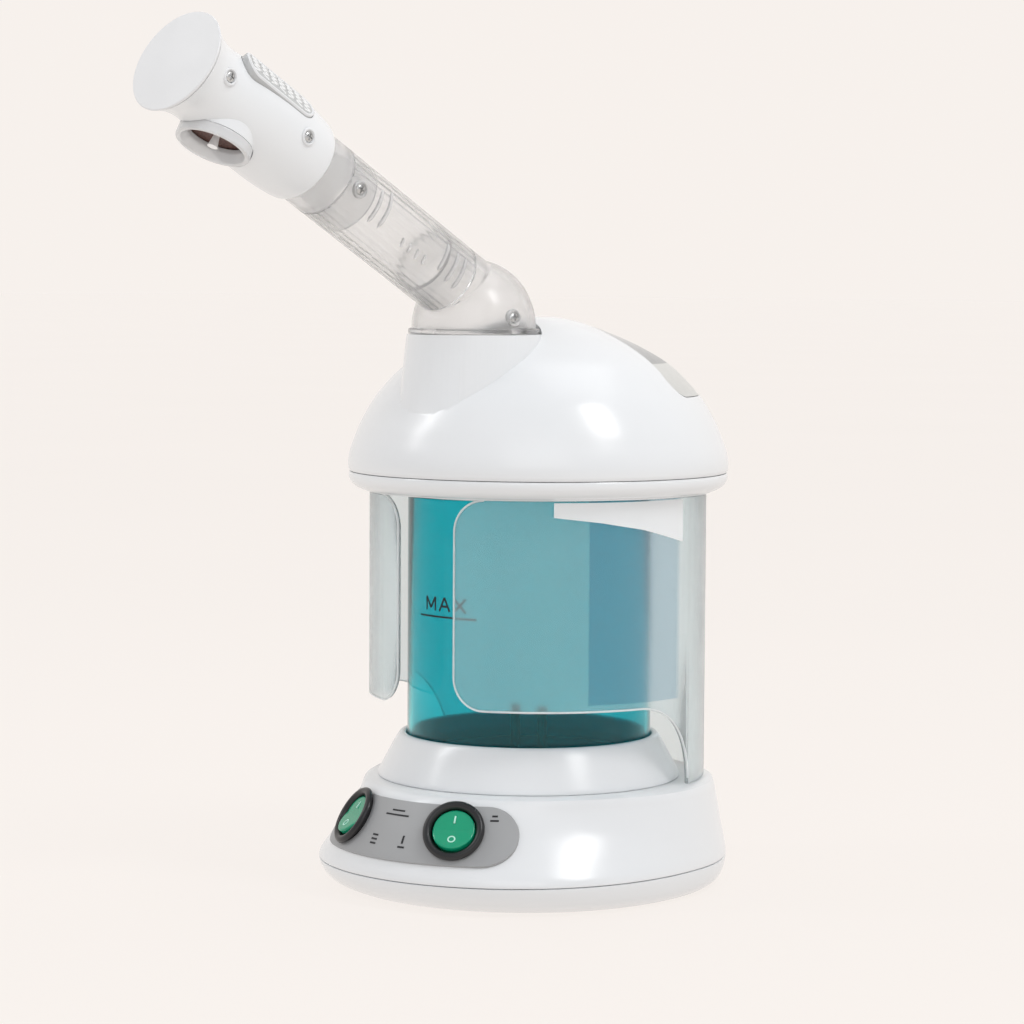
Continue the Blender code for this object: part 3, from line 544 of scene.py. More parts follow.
def smooth_curve(points, steps=6):
    """A Catmull-Rom curve through points of any dimension."""
    made = []
    last = len(points) - 1
    for i in range(last):
        a, b, c, d = (points[min(max(k, 0), last)] for k in (i - 1, i, i + 1, i + 2))
        for k in range(steps):
            t = k / steps
            made.append(tuple(
                0.5 * (2 * q + (r - p) * t + (2 * p - 5 * q + 4 * r - s) * t * t
                       + (3 * q - p - 3 * r + s) * t**3)
                for p, q, r, s in zip(a, b, c, d)
            ))
    made.append(tuple(points[-1]))
    return made


def cut(target, cutters, operation="DIFFERENCE"):
    """Takes the cutters out of the target, joins them to it or keeps what they share, and deletes them."""
    group = bpy.data.collections.new(f"{operation.lower()}_{target.name}")
    for cutter in cutters:
        group.objects.link(cutter)
    step = target.modifiers.new("cut", "BOOLEAN")
    step.operation = operation
    step.operand_type = "COLLECTION"
    step.collection = group
    step.solver = "EXACT"
    bpy.context.view_layer.update()
    graph = bpy.context.evaluated_depsgraph_get()
    mesh = bpy.data.meshes.new_from_object(target.evaluated_get(graph))
    target.modifiers.clear()
    target.data = mesh
    for cutter in cutters:
        bpy.data.objects.remove(cutter)
    bpy.data.collections.remove(group)
    target.data.set_sharp_from_angle(angle=math.radians(32))
    return target


def rod(name, radius, start, end, segments=MEDIUM, place=None):
    return turned(name, ((0.0, start), (radius, start), (radius, end), (0.0, end)), None, segments, place)


def place_piece(piece, body, slot, *nodes):
    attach(piece, body)
    if nodes:
        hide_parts(*nodes)
    return piece


# ---- base ----


SMOOTH_SECTIONS = smooth_curve(BASE_SECTIONS, 6)


def section_at(height):
    for lower, upper in zip(SMOOTH_SECTIONS, SMOOTH_SECTIONS[1:]):
        if height <= upper[0]:
            share = (height - lower[0]) / max(1e-9, upper[0] - lower[0])
            return [lower[i] + (upper[i] - lower[i]) * share for i in (1, 2, 3)]
    return SMOOTH_SECTIONS[-1][1:]


def base_radius(angle, height, inset=0.0):
    side, quarter, front = section_at(height)
    turn = min(abs(math.degrees(math.remainder(angle, math.tau))), SIDE_ANGLE)
    phase = math.pi / 2 * turn / SIDE_ANGLE
    quarter_phase = math.pi / 2 * QUARTER_ANGLE / SIDE_ANGLE
    at_quarter = side + (front - side) * math.cos(quarter_phase) ** 2
    swell = (front - side) * math.cos(phase) ** 2
    return side + swell + (quarter - at_quarter) * math.sin(2 * phase) ** 2 - inset - BASE_TRIM


def base_point(angle, height, inset=0.0):
    return around(angle, base_radius(angle, height, inset), height)


def base_normal(angle, height):
    along = base_point(angle + 0.01, height) - base_point(angle - 0.01, height)
    upward = base_point(angle, height + 1.0) - base_point(angle, height - 1.0)
    return along.cross(upward).normalized()


def raised(angle, height, lift):
    """A point above the base's surface."""
    return base_point(angle, height) + base_normal(angle, height) * lift


def base_ring(height, inset=0.0, section=None):
    level = height if section is None else section
    turns = [math.tau * i / FINE for i in range(FINE)]
    return [(p.x, p.y, height) for p in (base_point(t, level, inset) for t in turns)]


def make_pan(look):
    top = SPLIT_Z - GAP
    edge = [0.0] + [12.0 * (i / 16) ** 1.6 for i in range(1, 17)]
    outer = [base_ring(0.0, 1.0)] + [base_ring(h) for h in edge[1:]]
    outer += [base_ring(top - 0.1, 0.15), base_ring(top, 0.5)]
    inner = [base_ring(h, WALL) for h in (top, 8.0, 5.5)]
    pan = skinned("pan_shell", outer + inner + [base_ring(2.5, 5.0)], look["white"])
    sockets = []
    for i in range(1, 5):
        middle = (low(f"foot_{i}") + high(f"foot_{i}")) / 2
        sockets.append(rod(f"socket_{i}", 8.4, -2.0, 1.3, SMALL, moved(middle.x, middle.y, 0)))
    cut(pan, sockets)
    place_piece(pan, "base", "white_gloss", "base_pan")


def switch_place(label):
    """Z out of the base, X level along its surface, from the joint at the rocker's middle."""
    joint = JOINTS[f"switch_{label}_tilt"]
    middle = Vector(joint["pos_m"])
    level = Vector(joint["axis"]).normalized()
    normal = base_normal(math.atan2(middle.x, -middle.y), SWITCH_Z)
    normal = (normal - level * normal.dot(level)).normalized()
    return placed(level, normal.cross(level), normal, middle) @ moved(0, 0, -1.0)


def switch_holes():
    return [rod(f"hole_{side}", BARREL_R + GAP, -20.0, 12.0, SMALL, switch_place(side)) for side in SIDES]


def make_housing(look):
    heights = [SPLIT_Z + 0.5] + [SPLIT_Z + 1.0 + (BASE_TOP - SPLIT_Z - 1.0) * (i / 30) for i in range(31)]
    outer = [base_ring(SPLIT_Z, 0.45), base_ring(SPLIT_Z + 0.15, 0.12)] + [base_ring(h) for h in heights]
    top = [circle(r, BASE_TOP, y=JAR_Y) for r in (66.0, 42.0, JAR_OPENING_R)]
    top.append(circle(JAR_OPENING_R, BASE_TOP - WALL, y=JAR_Y))
    inner = [base_ring(h - WALL, WALL, section=h) for h in (BASE_TOP, 45.5)]
    inner += [base_ring(h, WALL) for h in (34.0, 21.0, SPLIT_Z)]
    housing = skinned("housing_shell", outer + top + inner, look["white"], closed=True)
    holes = switch_holes()
    gland = moved(0, (low("cord_gland").y + 6.0), 28.0) @ spun(-90, "X")
    holes.append(rod("hole_gland", 5.6, -14.0, 14.0, SMALL, gland))
    cut(housing, holes)
    place_piece(housing, "base", "white_gloss", "base_housing")


def panel_reach(level):
    end = 15.0
    return PANEL_HALF - end + end * math.sqrt(max(0.0, 1 - level * level)) + 0.4


def panel_grid(lift, shrink=0.0, rows=26, columns=90):
    middle = (PANEL_LOW_Z + PANEL_HIGH_Z) / 2
    half = (PANEL_HIGH_Z - PANEL_LOW_Z) / 2 - shrink
    grid = []
    for row in range(rows + 1):
        level = -math.cos(math.pi * row / rows)
        reach = (panel_reach(level) - shrink) / base_radius(0.0, middle) * 1.06
        angles = [reach * (2 * column / columns - 1) for column in range(columns + 1)]
        grid.append([raised(angle, middle + half * level, lift) for angle in angles])
    return grid


def slab(name, under_points, over_points, material):
    """A closed plate between two grids of points."""
    bm = bmesh.new()
    under = [[bm.verts.new(p) for p in line] for line in under_points]
    over = [[bm.verts.new(p) for p in line] for line in over_points]
    last_row, last_column = len(under) - 1, len(under[0]) - 1
    for r in range(last_row):
        for c in range(last_column):
            corners = ((r, c), (r, c + 1), (r + 1, c + 1), (r + 1, c))
            bm.faces.new([under[i][j] for i, j in reversed(corners)])
            bm.faces.new([over[i][j] for i, j in corners])
    edge = [(0, c) for c in range(last_column)] + [(r, last_column) for r in range(last_row)]
    edge += [(last_row, c) for c in range(last_column, 0, -1)] + [(r, 0) for r in range(last_row, 0, -1)]
    for (a, b), (i, j) in zip(edge, edge[1:] + edge[:1]):
        bm.faces.new((under[a][b], under[i][j], over[i][j], over[a][b]))
    return finish_mesh(name, bm, material)


def sheet(name, rows, columns, point_at, outs, material):
    """A slab between two offsets; point_at gives the point of a row, a column and an offset."""
    under, over = ([[point_at(i, j, out) for j in range(columns)] for i in range(rows)] for out in outs)
    return slab(name, under, over, material)


def decal(name, angle, height, width, tall, material):
    """A thin printed mark that follows the panel."""
    def point_at(row, column, out):
        turn = angle + (column / 6 - 0.5) * width / base_radius(angle, height)
        return raised(turn, height + (row / 2 - 0.5) * tall, out)
    place_piece(sheet(name, 3, 7, point_at, (1.25, 1.36), material), "base", "switch_black")


def make_panel(look):
    panel = slab("panel_plate", panel_grid(GAP), panel_grid(GAP + 0.9, 0.3), look["panel"])
    cut(panel, switch_holes())
    place_piece(panel, "base", "panel_grey", "control_panel")
    marks = [(f"steam_mark_{i + 1}", -0.085, 26.2 + 1.7 * i, 3.4, 0.7) for i in range(3)]
    marks += [("middle_line", 0.0, 38.4, 13.0, 0.6), ("middle_line_2", 0.0, 40.2, 7.0, 0.6)]
    marks += [("ion_mark_1", 0.085, 26.2, 3.4, 0.7), ("ion_mark_2", 0.085, 29.2, 0.9, 3.2)]
    for label, angle in (("right", 0.51), ("left", -0.51)):
        marks += [(f"{label}_mark_1", angle, 38.6, 3.6, 0.7), (f"{label}_mark_2", angle, 40.4, 2.4, 0.7)]
    for mark in marks:
        decal(*mark, look["ink"])


def make_switches(look):
    for label in SIDES:
        place = switch_place(label)
        profile = [
            (0.0, -6.0), (9.9, -6.0), (9.9, 2.4), (10.8, 3.8), (12.4, 4.0), (BEZEL_R, 2.8), (BEZEL_R, 1.6),
            (BARREL_R, 1.6), (BARREL_R, -14.0), (0.0, -14.0),
        ]
        bezel = turned(f"bezel_{label}", rounded(profile, 1.1), look["black"], MEDIUM, place)
        place_piece(bezel, "base", "switch_black", f"switch_bezel_{label}")
        make_rocker(label, place, look)


def valley_depth(y):
    """How far a rocker's face dips below its rim, by the distance from its pivot line."""
    return VALLEY_DEPTH * (1 - abs(y) / ROCKER_R) ** 1.3


def make_rocker(label, place, look):
    """Round rocker with a shallow valley, tilted to its off side, and its on and off marks."""
    tilted = place @ moved(0, 0, 1.0) @ spun(-ROCKER_TILT, "X")
    steps = [(ROCKER_R, 2.0), (ROCKER_R - 0.15, 2.3), (ROCKER_R - 0.6, ROCKER_TOP)]
    steps += [(radius, ROCKER_TOP) for radius in (8.0, 6.5, 5.0, 3.5, 2.0, 0.8)]
    face = [circle(radius, height, SMALL * 2) for radius, height in steps]
    rings = [circle(ROCKER_R, -2.0, SMALL * 2)]
    rings += [[(x, y, z - valley_depth(y)) for x, y, z in ring] for ring in face]
    rocker = skinned(f"rocker_{label}", rings, look["green"], place=tilted, sharp=60.0)
    body = f"switch_{label}"
    place_piece(rocker, body, "rocker_green", f"switch_rocker_{label}")
    top = ROCKER_TOP - valley_depth(4.6)
    bar = skinned(
        f"on_mark_{label}",
        [[(-0.35, 3.0, z), (0.35, 3.0, z), (0.35, 6.4, z), (-0.35, 6.4, z)] for z in (top - 0.3, top + 0.35)],
        look["mark"], place=tilted,
    )
    ring_place = tilted @ moved(0, -4.8, top) @ spun(-7.0, "X")
    ring_profile = ((1.15, -0.25), (1.75, -0.25), (1.75, 0.12), (1.15, 0.12))
    ring = turned(f"off_mark_{label}", ring_profile, look["mark"], SMALL, ring_place)
    for mark in (bar, ring):
        place_piece(mark, body, "rocker_green")


def make_collar(look):
    bore = JAR_R + GAP + 0.1
    foot = BASE_TOP + 0.05
    profile = [(COLLAR_R, foot), (COLLAR_R - 0.4, BASE_TOP + 1.8), (60.4, 63.4), (58.0, COLLAR_TOP),
               (bore, COLLAR_TOP), (bore, 60.0), (62.5, foot)]
    collar = turned("collar_ring", rounded(profile, 1.4, ends=True), look["white"], FINE, moved(0, JAR_Y, 0))
    place_piece(collar, "base", "white_gloss", "jar_collar")


# ---- jar and guard ----


def make_jar(look):
    bore = JAR_R - 1.8
    profile = [(0.0, JAR_LOW), (JAR_R, JAR_LOW), (JAR_R, JAR_TOP), (bore, JAR_TOP), (bore, JAR_LOW + 2.2),
               (0.0, JAR_LOW + 2.2)]
    jar = turned("jar_shell", rounded(profile, 0.8), look["jar"], FINE, moved(0, JAR_Y, 0))
    place_piece(jar, "base", "jar_teal", "water_jar")
    jar_stroke("level_line", (-19.5, LEVEL_Z), (16.7, LEVEL_Z), 0.8, look)
    for letter, middle in (("M", -10.7), ("A", -1.4), ("X", 7.9)):
        for i, (start, end) in enumerate(LETTERS[letter]):
            ends = [(middle + LETTER_WIDTH * u, LEVEL_Z + 2.6 + LETTER_HEIGHT * v) for u, v in (start, end)]
            jar_stroke(f"level_{letter}_{i + 1}", ends[0], ends[1], 0.95, look)


def jar_stroke(name, start, end, width, look):
    """A thin printed stroke on the jar between two places, each a turn in degrees and a height."""
    run = Vector((math.radians(end[0] - start[0]) * JAR_R, end[1] - start[1]))
    across = Vector((-run.y, run.x)).normalized() * width / 2

    def point_at(row, column, out):
        side = 2 * row - 1
        angle = math.radians(start[0]) + (run.x * column / 12 + side * across.x) / JAR_R
        return around(angle, JAR_R + out, start[1] + run.y * column / 12 + side * across.y, JAR_Y)

    place_piece(sheet(name, 2, 13, point_at, (0.02, 0.12), look["ink"]), "base", "switch_black")


def guard_edges(turn):
    along = math.radians(turn - GUARD_GAP_HALF) * GUARD_R
    lift = 0.0
    if along < GUARD_CORNER:
        lift = GUARD_CORNER - math.sqrt(max(0.0, GUARD_CORNER**2 - (GUARD_CORNER - along) ** 2))
    bottom = GUARD_LOW + lift
    if turn > LEG_FROM:
        share = min(1.0, (turn - LEG_FROM) / (LEG_TO - LEG_FROM))
        bottom = GUARD_LOW - (GUARD_LOW - GUARD_FOOT) * (1 - math.sqrt(1 - share * share))
    return bottom, GUARD_TOP - lift


def guard_turns():
    """Turns in degrees that follow the guard's front corner and the curve of its leg."""
    corner = math.degrees(GUARD_CORNER / GUARD_R)
    front = [GUARD_GAP_HALF + corner * (i / 16) ** 2 for i in range(17)]
    leg = [LEG_FROM + (LEG_TO - LEG_FROM) * math.sin(math.pi / 2 * i / 22) for i in range(23)]
    return front, leg


def make_guard(look):
    """A cylinder wall, open at the front, whose cross-section has rounded edges."""
    front, leg = guard_turns()
    half = front + [24.0 + 3.0 * i for i in range(18)] + leg + [LEG_TO + 4.0 * i for i in range(1, 20)]
    turns = [(t, 1) for t in half] + [(t, -1) for t in reversed(half[:-1])]
    inner = GUARD_R - GUARD_WALL
    rings = []
    for turn, side in turns:
        bottom, top = guard_edges(turn)
        middle = (bottom + top) / 2
        outline = [(GUARD_R, z) for z in (bottom, middle, top)] + [(inner, z) for z in (top, middle, bottom)]
        wall = rounded(outline, 0.6, 3, ends=True)
        rings.append([around(math.radians(turn) * side, radius, height) for radius, height in wall])
    guard = skinned("guard_shell", rings, look["guard"], sharp=50.0)
    place_piece(guard, "head", "guard_frosted", "jar_guard")
    make_guard_band(look)
    for label, side in SIDES.items():
        make_guard_bead(label, side, look)


def make_guard_bead(label, side, look):
    """The pale rounded edge of the guard, from its top corner down and back to the foot of its leg."""
    front, leg = guard_turns()
    path = [(turn, guard_edges(turn)[1]) for turn in reversed(front)]
    foot = front + [30.0 + 4.0 * i for i in range(12)] + leg[:-1]
    path += [(turn, guard_edges(turn)[0]) for turn in foot]
    rings = []
    for i, (turn, level) in enumerate(path):
        before, after = path[max(0, i - 1)], path[min(len(path) - 1, i + 1)]
        run, rise = math.radians(after[0] - before[0]) * GUARD_R, after[1] - before[1]
        ray = direction(turn * side)
        onward = UP.cross(ray) * side
        across = (onward * -rise + UP * run) / math.hypot(run, rise)
        middle = ray * (GUARD_R - BEAD_R + BEAD_PROUD) + UP * level
        spins = [math.tau * k / 8 for k in range(8)]
        rings.append([middle + (ray * math.cos(t) + across * math.sin(t)) * BEAD_R for t in spins])
    bead = skinned(f"guard_edge_{label}", rings, look["edge"], sharp=70.0)
    place_piece(bead, "head", "guard_frosted")


def band_height(turn):
    for (start, low_z), (end, high_z) in zip(BAND, BAND[1:]):
        if turn <= end:
            return low_z + (high_z - low_z) * (turn - start) / (end - start)
    return BAND[-1][1]


def make_guard_band(look):
    """The milky band along the top of the guard, thinner towards the front."""
    shares = (0.0, 0.03, 0.5, 0.97, 1.0)

    def point_at(row, column, out):
        turn = BAND_FROM + (BAND_TO - BAND_FROM) * column / 40
        foot = band_height(turn)
        return around(math.radians(turn), GUARD_R + out, foot + (GUARD_TOP - 0.6 - foot) * shares[row])

    band = sheet("guard_band", len(shares), 41, point_at, (0.05, 0.35), look["band"])
    place_piece(band, "head", "guard_frosted")


# ---- head ----


def offset_profile(profile, depth):
    made = []
    for i, (radius, height) in enumerate(profile):
        before = profile[max(0, i - 1)]
        after = profile[min(len(profile) - 1, i + 1)]
        run, rise = after[0] - before[0], after[1] - before[1]
        length = math.hypot(run, rise)
        made.append((radius - depth * rise / length, height + depth * run / length))
    made[-1] = (0.0, profile[-1][1] - depth)
    return made


SMOOTH_DOME = smooth_curve(DOME_PROFILE, 6)


def dome_layer(outside, inside, floor):
    outer = [p for p in offset_profile(SMOOTH_DOME, -outside) if p[1] >= floor]
    inner = [p for p in offset_profile(SMOOTH_DOME, inside) if p[1] >= floor]
    return list(reversed(inner)) + outer


def turret(name, shrink, bottom, top, tip):
    spread = (TURRET_FOOT_R - TURRET_R) / (TURRET_TOP - TURRET_FOOT_Z)
    foot = TURRET_R - shrink + spread * (TURRET_TOP - bottom)
    profile = [(0.0, bottom), (foot, bottom), (TURRET_R - shrink, top)] + tip
    return turned(name, profile, None, MEDIUM, moved(0, TURRET_Y, 0))


def inlay_window(name, shrink):
    floor, front = INLAY_LOW + shrink, INLAY_FRONT + shrink
    arc = [(front + 9.0 - 9.0 * math.sin(t), floor + 9.0 - 9.0 * math.cos(t)) for t in
           (math.pi / 2 * i / 12 for i in range(13))]
    outline = arc + [(front, 270.0), (100.0, 270.0), (100.0, floor)]
    return skinned(name, [[(x, y, z) for y, z in outline] for x in (-100.0, 100.0)], None)


def make_dome(look):
    start = SEAM_Z + GAP
    solid = [(0.0, start), (RIM_R - 0.6, start)] + SMOOTH_DOME[2:]
    dome = turned("dome_shell", solid, look["white"])
    above = TURRET_TOP + 2.0
    cut(dome, [turret("turret_body", 0.0, TURRET_FOOT_Z - 4.0, above, [(0.0, above)])], "UNION")
    core = [(0.0, SEAM_Z - 2.0), (RIM_R - WALL, SEAM_Z - 2.0)] + offset_profile(SMOOTH_DOME, WALL)
    ceiling = TURRET_TOP - 3.0
    bore = [(SPIGOT_R + GAP, ceiling), (SPIGOT_R + GAP, 258.0), (0.0, 258.0)]
    pocket = turned("pocket", dome_layer(3.0, 1.4, 210.0), None)
    cut(pocket, [inlay_window("pocket_window", 0.0)], "INTERSECT")
    cut(dome, [
        turned("core", core, None, MEDIUM),
        turret("turret_core", WALL + 0.3, TURRET_FOOT_Z - 8.0, ceiling, bore),
        rod("elbow_seat", TURRET_R + 0.5, TURRET_TOP, 262.0, MEDIUM, moved(0, TURRET_Y, 0)),
        pocket,
    ])
    place_piece(dome, "head", "white_gloss", "dome_cover")
    inlay = turned("inlay_plate", dome_layer(-0.25, 1.1, 210.0), look["inlay"])
    cut(inlay, [inlay_window("inlay_window", GAP)], "INTERSECT")
    place_piece(inlay, "head", "inlay_grey", "dome_inlay")


def make_tray(look):
    top = SEAM_Z
    low_z = TRAY_LOW
    outer = smooth_curve([
        (RIM_R - 0.4, top), (RIM_R, top - 1.2), (84.6, top - 3.4), (83.0, top - 5.6), (80.6, top - 7.2),
        (78.4, low_z + 0.5), (77.6, low_z),
    ], 4)
    profile = outer + [(14.0, low_z), (14.0, low_z + 2.4), (78.0, low_z + 2.4), (82.0, top)]
    tray = turned("tray_ring", profile, look["white"], FINE)
    place_piece(tray, "head", "white_gloss", "head_tray")


# ---- arm ----


def arm_frame():
    """Z runs out along the arm, X stays level and Y is its upper side."""
    joint = JOINTS["nozzle_twist"]
    axis = Vector(joint["axis"]).normalized()
    level = Vector((1, 0, 0))
    return placed(level, axis.cross(level), axis, joint["pos_m"])


ARM = arm_frame()


def elbow_cap(name, inset, foot, material=None):
    """A round cap about the turret's axis, over the points of its foot."""
    radius, height = ELBOW_R - inset, ELBOW_HEIGHT - inset
    turns = [math.pi / 2 * i / 24 for i in range(24)]
    arc = [(radius * math.cos(t), ELBOW_Z + height * math.sin(t)) for t in turns]
    return turned(name, foot + arc + [(0.0, ELBOW_Z + height)], material, MEDIUM, moved(0, TURRET_Y, 0))


def make_elbow(look):
    neck = TUBE_R - TUBE_WALL - GAP
    step = TUBE_FROM - GAP
    foot = rounded([
        (0.0, SPIGOT_FOOT), (SPIGOT_R, SPIGOT_FOOT), (SPIGOT_R, ELBOW_FOOT), (FLANGE_R, ELBOW_FOOT),
        (FLANGE_R, FLANGE_TOP), (ELBOW_R, FLANGE_TOP),
    ], 0.6)
    elbow = elbow_cap("elbow_shell", 0.0, foot, look["arm"])
    half_step = Matrix.Rotation(math.pi / MEDIUM, 4, "Z")  # keeps the seat's edges off the neck's
    cut(elbow, [rod("socket", TUBE_R, -10.0, 20.0, MEDIUM, ARM)], "UNION")
    cut(elbow, [rod("tube_seat", TUBE_R + GAP, step, 60.0, MEDIUM, ARM @ half_step)])
    cut(elbow, [rod("neck", neck, -4.0, NECK_TO, MEDIUM, ARM)], "UNION")
    floor = ELBOW_FOOT + ELBOW_WALL
    core = elbow_cap("elbow_core", ELBOW_WALL, [(0.0, floor), (ELBOW_R - ELBOW_WALL, floor)])
    cut(core, [rod("core_limit", TUBE_R + 2.0, step - ELBOW_WALL, 60.0, SMALL, ARM)])
    cut(elbow, [
        core,
        rod("neck_bore", neck - SLEEVE_WALL, -12.0, 30.0, MEDIUM, ARM),
        rod("spigot_bore", SPIGOT_R - 2.4, 230.0, 262.0, MEDIUM, moved(0, TURRET_Y, 0)),
    ])
    place_piece(elbow, "arm", "arm_translucent", "elbow")


def rib(name, start, end, thick, look):
    """A raised bar on the tube between two places, each a distance along the arm and a turn."""
    rings = []
    steps = 22
    for i in range(steps + 1):
        share = i / steps
        along = start[0] + (end[0] - start[0]) * share
        turn = math.radians(start[1] + (end[1] - start[1]) * share)
        fade = max(0.12, min(1.0, 9.0 * share, 9.0 * (1.0 - share)))
        ring = []
        for k in range(10):
            spin = math.tau * k / 10
            out = TUBE_R + thick * 0.32 * math.cos(spin) * fade
            level = along + thick * 0.5 * math.sin(spin) * fade
            ring.append((out * math.cos(turn), out * math.sin(turn), level))
        rings.append(ring)
    made = skinned(name, rings, look["rib"], place=ARM, sharp=70.0)
    return place_piece(made, "arm", "arm_translucent")


def fluted(radius, depth, along, flutes=30, points=240):
    """A ring round the arm whose radius swells outward by the depth, flute by flute."""
    turns = [math.tau * i / points for i in range(points)]
    reach = [radius + depth * (0.5 - 0.5 * math.cos(flutes * t)) for t in turns]
    return [(r * math.cos(t), r * math.sin(t), along) for r, t in zip(reach, turns)]


def make_tube(look):
    """The clear tube, its moulded grips and the sleeve that the nozzle turns on."""
    bore = TUBE_R - TUBE_WALL
    outer = (
        (TUBE_R - 0.4, TUBE_FROM), (TUBE_R, TUBE_FROM + 0.4),
        (TUBE_R, TUBE_TO - 0.4), (TUBE_R - 0.4, TUBE_TO),
    )
    rings = [fluted(radius, 0.0, along) for radius, along in outer]
    rings += [fluted(bore, FLUTE_DEPTH, along) for along in (TUBE_TO, TUBE_FROM)]
    tube = skinned("tube_shell", rings, look["arm"], closed=True, place=ARM)
    place_piece(tube, "arm", "arm_translucent", "arm_tube")
    for i, (along, turn_from, turn_to) in enumerate(RIBS):
        rib(f"grip_{i + 1}", (along, turn_from), (along, turn_to), 2.2, look)
    for i, along in enumerate(SLASHES):
        rib(f"slash_{i + 1}", (along - 1.2, SLASH_FROM), (along + 0.2, SLASH_TO), 1.7, look)
    in_tube = bore - GAP
    in_nozzle = NOZZLE_BORE - GAP
    inner = in_tube - SLEEVE_WALL
    sleeve = [
        (inner, COUPLING_FROM), (in_tube, COUPLING_FROM), (in_tube, TUBE_TO + GAP), (TUBE_R, TUBE_TO + GAP),
        (TUBE_R, NOZZLE_FROM - GAP), (in_nozzle, NOZZLE_FROM - GAP), (in_nozzle, COUPLING_TO),
        (inner, COUPLING_TO),
    ]
    coupling = turned("coupling_shell", rounded(sleeve, 0.4, ends=True), look["sleeve"], MEDIUM, ARM)
    place_piece(coupling, "arm", "arm_translucent", "coupling_ring")


OUTLET = ARM @ moved(0, 0, OUTLET_AT) @ spun(90, "X")


def pill_outline(length, width, steps=14):
    half = width / 2
    run = length / 2 - half
    points = []
    for middle, start in ((run, -math.pi / 2), (-run, math.pi / 2)):
        for i in range(steps + 1):
            t = start + math.pi * i / steps
            points.append((half * math.sin(t), middle + half * math.cos(t)))
    return points


def make_nozzle(look):
    solid = [(0.0, NOZZLE_FROM)] + smooth_curve(NOZZLE_PROFILE, 5) + [(0.0, NOZZLE_TO)]
    nozzle = turned("nozzle_body", solid, look["white"], FINE, ARM)
    cut(nozzle, [rod("branch", OUTLET_R, 0.0, OUTLET_DROP, MEDIUM, OUTLET)], "UNION")
    outline = pill_outline(WINDOW_LENGTH + 2 * GAP, WINDOW_WIDTH + 2 * GAP)
    ends = [[(x, y, z) for x, z in outline] for y in (9.0, 26.0)]
    hole = skinned("window_hole", ends, None, place=window_place())
    cut(nozzle, [
        rod("nozzle_bore", NOZZLE_BORE, NOZZLE_FROM - 4.0, NOZZLE_TO + 4.0, MEDIUM, ARM),
        rod("branch_bore", OUTLET_R - OUTLET_WALL, 2.0, 40.0, MEDIUM, OUTLET),
        rod("lip_seat", OUTLET_R + GAP, OUTLET_DROP, 41.0, MEDIUM, OUTLET),
        hole,
    ])
    place_piece(nozzle, "nozzle", "white_gloss", "nozzle_shell")
    make_window(look)


def window_place():
    return ARM @ moved(0, 0, WINDOW_AT) @ spun(WINDOW_TURN - 90.0, "Z")


def crowned(inset, lift):
    """An outline of the window, inset from its edge, on the nozzle's curve raised by the lift."""
    outline = pill_outline(WINDOW_LENGTH - 2 * inset, WINDOW_WIDTH - 2 * inset)
    return [(x, math.sqrt((WINDOW_BED_R + lift) ** 2 - x * x), z) for x, z in outline]


def make_window(look):
    """A silvery insert with a raised rim and a wavy row of ridges on its crown, coloured paler as painted
    highlight.
    """
    foot = [(x, 16.8, z) for x, z in pill_outline(WINDOW_LENGTH, WINDOW_WIDTH)]
    steps = ((0.0, 0.2), (0.3, 0.5), (1.2, 0.6), (2.8, 0.6), (4.6, 0.6), (6.4, 0.6))
    rings = [foot] + [crowned(*step) for step in steps]
    window = skinned("window_bar", rings, look["window"], place=window_place(), sharp=50.0)
    place_piece(window, "nozzle", "inlay_grey", "nozzle_window")
    edge = [crowned(*step) for step in ((0.1, 0.3), (0.15, 0.7), (0.5, 0.9), (1.0, 0.9), (1.4, 0.5))]
    rim = skinned("window_rim", edge, look["white_satin"], closed=True, place=window_place(), sharp=60.0)
    place_piece(rim, "nozzle", "inlay_grey")
    for i in range(7):
        middle = -15.9 + 5.3 * i
        path = [(-4.2 + 1.2 * k, middle + (1.9 if (k + i) % 2 else -1.9)) for k in range(8)]
        wave(f"window_wave_{i + 1}", smooth_curve(path, 4), look)


def wave(name, path, look):
    """A low ridge along a path of (x, z) on the window."""
    rings = []
    for x, z in path:
        ring = []
        for k in range(6):
            spin = math.tau * k / 6
            side = x + 0.45 * math.cos(spin)
            ring.append((side, math.sqrt((WINDOW_BED_R + 0.6) ** 2 - side * side) + 0.2 * math.sin(spin), z))
        rings.append(ring)
    # paler ridge colour: painted highlight
    made = skinned(name, rings, look["window_painted_highlight"], place=window_place(), sharp=70.0)
    place_piece(made, "nozzle", "inlay_grey")


def make_outlet(look):
    bore = OUTLET_R - OUTLET_WALL - GAP
    inner = bore - OUTLET_BARREL
    lip = [
        (inner, OUTLET_DROP - 1.6), (bore, OUTLET_DROP - 1.6), (bore, OUTLET_DROP + 0.05),
        (OUTLET_R, OUTLET_DROP + 0.05), (OUTLET_R, LIP_END), (OUTLET_R - 2.0, LIP_END),
        (inner, OUTLET_DROP + 0.6),
    ]
    ring = turned("outlet_lip", rounded(lip, 0.6, ends=True), look["lip"], FINE, OUTLET)
    place_piece(ring, "nozzle", "arm_translucent", "outlet_ring")
    jet = [(0.0, 13.9), (1.3, 13.9), (1.3, 15.0), (2.2, 20.0), (1.7, 20.2), (0.0, 20.2)]
    tip = turned("steam_tip", jet, look["tip"], SMALL, OUTLET)
    place_piece(tip, "nozzle", "arm_translucent")
    plug = NOZZLE_BORE - GAP
    cap = [
        (0.0, NOZZLE_TO - CAP_PLUG), (plug, NOZZLE_TO - CAP_PLUG), (plug, NOZZLE_TO + GAP),
        (CAP_R - 0.9, NOZZLE_TO + GAP), (CAP_R, CAP_END - 0.5), (CAP_R - 0.3, CAP_END), (0.0, CAP_END),
    ]
    end = turned("end_disc", rounded(cap, 0.4), look["cap"], FINE, ARM)
    place_piece(end, "nozzle", "white_gloss", "end_cap")


